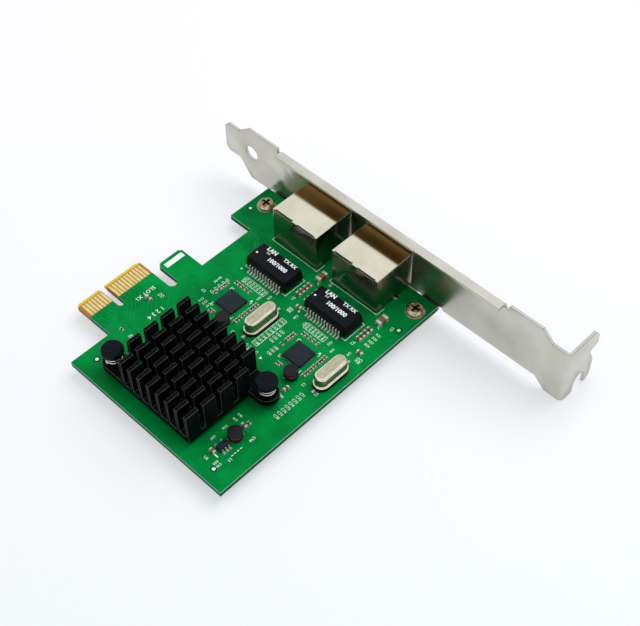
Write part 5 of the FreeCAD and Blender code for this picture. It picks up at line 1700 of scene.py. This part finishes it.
# ---- Cooling ----
@dataclass
class Cooler(Assembly):
    """Heatsink with its sprung push pins.

    Attributes:
        wire: Spring wire diameter.
        radius: Spring radius to the middle of its wire.
        turns: Turns of a spring.
        steps: Points in each turn.
        sides: Sides of the wire.
        blade: Rounding of the heatsink's edges.
        cap: Rounding of a push pin's edges.
    """

    wire: float = 0.5
    radius: float = 2.0
    turns: float = 3.0
    steps: int = 48
    sides: int = 12
    blade: float = 0.07
    cap: float = 0.22

    def dress(self) -> None:
        """Build the cooler's pieces."""
        Workshop.softened("heatsink", self.finishes["black_anodised"], "black_aluminium", self.blade,
                          edge_wear_and_light=self.finishes["anodised_edge"])
        Workshop.softened("push_pins", self.finishes["pin_nylon"], "pin_plastic", self.cap, segments=3)
        deck, top = (corner.z for corner in Workshop.box("pin_springs"))
        grower = coil_grower("spring_coils", self.radius, top - deck - self.wire, self.wire, self.turns,
                             self.steps, self.sides, self.finishes["spring_steel"])
        pins = [(low + high) / 2 for low, high in Workshop.islands("push_pins")]
        mesh = grower.grow([Vector((pin.x, pin.y, deck + self.wire / 2)) for pin in pins])
        Workshop.piece("round_springs", mesh, None, "spring_steel", ("pin_springs",))


# ---- Small parts and their solder ----
@dataclass
class SmallParts(Assembly):
    """Chip capacitors and resistors, and the solder at every soldered end.

    Attributes:
        fold: Rounding of the end caps.
        fillet: How far solder runs out from a chip's end.
        climb: Share of an end cap's height that it climbs.
        lead_bead: Half the length, width and height of the solder at a lead.
        lead_inset: How far inside a lead's tip its middle lies.
    """

    fold: float = 0.05
    fillet: float = 0.17
    climb: float = 0.55
    lead_bead: tuple[float, float, float] = (0.55, 0.28, 0.16)
    lead_inset: float = 0.3

    def dress(self) -> None:
        """Build the small parts' pieces."""
        for name in CHIP_COMPONENTS:
            body = "resistor_film" if name == "chip_resistors" else "ceramic"
            Workshop.shade(self.finishes[body], name)
            Workshop.softened(name + "_ends", self.finishes["tinned_ends"], "tinned_metal", self.fold)
        ends = [bead for name in CHIP_COMPONENTS for bead in self.end_beads(name)]
        leads = [bead for port in PORTS for bead in self.lead_beads(port + "_transformer")]
        places, spreads = zip(*ends, *leads)
        mesh = bead_grower("solder_beads", self.finishes["solder"]).grow(places, spreads)
        Workshop.piece("solder_beads", mesh, None, "tinned_metal")

    def end_beads(self, name: str) -> list[tuple[Vector, Vector]]:
        """Work out the solder at each chip end.

        Args:
            name: The chips' name.

        Returns:
            The place and size of each bead.
        """
        bodies = [(low + high) / 2 for low, high in Workshop.islands(name)]
        beads = []
        for low, high in Workshop.islands(name + "_ends"):
            middle, size = (low + high) / 2, high - low
            body = min(bodies, key=lambda centre: (centre - middle).length)
            axis = 0 if abs(middle.x - body.x) > abs(middle.y - body.y) else 1
            place, _ = outer_end((low, high), body, axis)
            spread = Vector((size.x / 2, size.y / 2, size.z * self.climb))
            spread[axis] = self.fillet
            beads.append((place, spread))
        return beads

    def lead_beads(self, body: str) -> list[tuple[Vector, Vector]]:
        """Work out the solder at each lead of a transformer.

        Args:
            body: The transformer's name.

        Returns:
            The place and size of each bead.
        """
        beads = []
        for box in Workshop.islands(body + "_leads"):
            edge, way = outer_end(box, Workshop.middle(body), 0)
            beads.append((edge - way * self.lead_inset, Vector(self.lead_bead)))
        return beads


# ---- Studio ----
@dataclass(frozen=True)
class Lamp:
    """A soft square lamp.

    Attributes:
        name: Its name.
        place: Where it hangs.
        size: Length of a side.
        power: Its power, in watts.
    """

    name: str
    place: tuple[float, float, float]
    size: float
    power: float


@dataclass
class Studio:
    """Pale floor, soft light and the camera.

    Attributes:
        floor: Height of the floor.
        reach: How far the floor runs from the origin, in metres.
        eye: Where the camera stands.
        aim: The point that it looks at.
        roll: How far it is turned about its own axis, in degrees.
        focal: Focal length as a share of the picture's width.
        sensor: Sensor width.
        clip: Nearest and farthest distance that is drawn, in metres.
        toward: The way along the floor towards the camera.
        far_paper: Floor tone at the far side.
        near_paper: Floor tone at the near side.
        paper_turn: Where the far tone ends and the near tone starts, in metres.
        bounce: Floor tone in the light that it throws back.
        paper_glow: Share of the floor's own tone where it is seen, so that its shadow stays soft.
        room_light: Strength of the room's light, and of the room where it is seen.
        room_tone: Tone of the room's light, and of the room where it is seen.
        lamps: The lamps.
        card: The point that they shine on.
    """

    floor: float = -4.48
    reach: float = 3.0
    eye: tuple[float, float, float] = (110.617, 193.614, 251.706)
    aim: tuple[float, float, float] = (-33.41538, 48.16378, 0.0)
    roll: float = -1.400015
    focal: float = 1.958089
    sensor: float = 36.0
    clip: Point = (0.01, 10.0)
    toward: tuple[float, float, float] = (0.7, 0.71, 0.0)
    far_paper: str = "f7f5f9"
    near_paper: str = "f1f5f6"
    paper_turn: Point = (-0.12, 0.12)
    bounce: str = "d8dade"
    paper_glow: float = 0.55
    room_light: Point = (0.58, 0.97)
    room_tone: tuple[str, str] = ("f4f9ff", "fbfbfe")
    lamps: tuple[Lamp, ...] = (Lamp("key", (-320, 90, 500), 460, 2.5),
                               Lamp("fill", (300, -160, 660), 720, 1.0))
    card: tuple[float, float, float] = (-10.0, 40.0, 0.0)

    @staticmethod
    def facing(place: Vector, goal: Vector, roll: float = 0.0) -> Matrix:
        """Stand a lamp or camera at a place, looking at a goal.

        Args:
            place: Where it stands, in metres.
            goal: What it looks at, in metres.
            roll: Turn about its own axis, in degrees.

        Returns:
            Its matrix.
        """
        turn = (goal - place).to_track_quat("-Z", "Y").to_matrix().to_4x4()
        return Matrix.Translation(place) @ turn @ Matrix.Rotation(math.radians(roll), 4, "Z")

    @staticmethod
    def seen(nodes: Nodes) -> Socket:
        """Tell a look from scattered light.

        Args:
            nodes: The node builder.

        Returns:
            One where the eye, a mirror or a clear piece looks, nought for scattered light.
        """
        path = nodes.add("ShaderNodeLightPath").outputs
        bent = nodes.math("MAXIMUM", path["Is Glossy Ray"], path["Is Transmission Ray"])
        return nodes.math("MAXIMUM", path["Is Camera Ray"], bent)

    def camera(self) -> None:
        """Stand the camera at its viewing angle."""
        lens = bpy.data.cameras.new("camera")
        lens.sensor_width = self.sensor
        lens.lens = self.focal * self.sensor
        lens.clip_start, lens.clip_end = self.clip
        camera = Workshop.placed("camera", lens)
        camera.matrix_world = self.facing(Vector(self.eye) * MM, Vector(self.aim) * MM, self.roll)
        bpy.context.scene.camera = camera

    def ground(self) -> None:
        """Lay the floor: pale, and as pale in the metal's reflections."""
        mesh = bpy.data.meshes.new("floor")
        square = [(side * self.reach, end * self.reach, self.floor * MM)
                  for side, end in ((-1, -1), (1, -1), (1, 1), (-1, 1))]
        mesh.from_pydata(square, [], [(0, 1, 2, 3)])
        material = bpy.data.materials.new("floor")
        material.use_nodes = True
        nodes = Nodes(material.node_tree)
        seen = self.seen(nodes)
        place = nodes.add("ShaderNodeTexCoord").outputs["Object"]
        near = nodes.add("ShaderNodeVectorMath", {0: place, 1: self.toward}, operation="DOT_PRODUCT")
        turn = nodes.range(near.outputs["Value"], 0.0, 1.0, *self.paper_turn)
        paper = nodes.mix(turn, linear(self.far_paper), linear(self.near_paper))
        lit = nodes.add("ShaderNodeBsdfDiffuse", {"Color": nodes.mix(seen, linear(self.bounce), paper)})
        glow = nodes.add("ShaderNodeEmission", {"Color": paper, "Strength": 1.0})
        share = nodes.math("MULTIPLY", seen, self.paper_glow)
        shader = nodes.add("ShaderNodeMixShader", {0: share, 1: lit.outputs[0], 2: glow.outputs[0]})
        nodes.add("ShaderNodeOutputMaterial", {"Surface": shader.outputs[0]})
        mesh.materials.append(material)
        Workshop.placed("floor", mesh)

    def light(self) -> None:
        """Fill the room with even light and hang the lamps."""
        world = bpy.data.worlds.new("studio")
        bpy.context.scene.world = world
        world.use_nodes = True
        nodes = Nodes(world.node_tree)
        seen = self.seen(nodes)
        tone = nodes.mix(seen, *(linear(code) for code in self.room_tone))
        room = {"Color": tone, "Strength": nodes.range(seen, *self.room_light)}
        nodes.add("ShaderNodeOutputWorld", {"Surface": nodes.add("ShaderNodeBackground", room).outputs[0]})
        for lamp in self.lamps:
            source = bpy.data.lights.new(lamp.name, "AREA")
            source.size = lamp.size * MM
            source.energy = lamp.power
            thing = Workshop.placed(lamp.name, source)
            thing.visible_glossy = False
            thing.matrix_world = self.facing(Vector(lamp.place) * MM, Vector(self.card) * MM)

    def build(self) -> None:
        """Set up the whole studio."""
        bpy.context.scene.view_settings.view_transform = "Standard"
        self.camera()
        self.ground()
        self.light()


def main() -> None:
    """Build the card's looks in order."""
    logging.basicConfig(level=logging.INFO, format="%(name)s %(message)s")
    solids = tuple(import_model()["nodes"])
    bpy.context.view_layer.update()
    Studio().build()
    finishes = mixed_finishes()
    for part in (Board(finishes), Legend(finishes), Tracks(finishes), Pads(finishes), Vias(finishes, solids),
                 BracketSet(finishes), Ports(finishes), Transformers(finishes), Chips(finishes),
                 Crystals(finishes), Coils(finishes), Cooler(finishes), SmallParts(finishes)):
        part.dress()
        log.info("%s dressed", type(part).__name__)


if __name__ == "__main__":
    main()
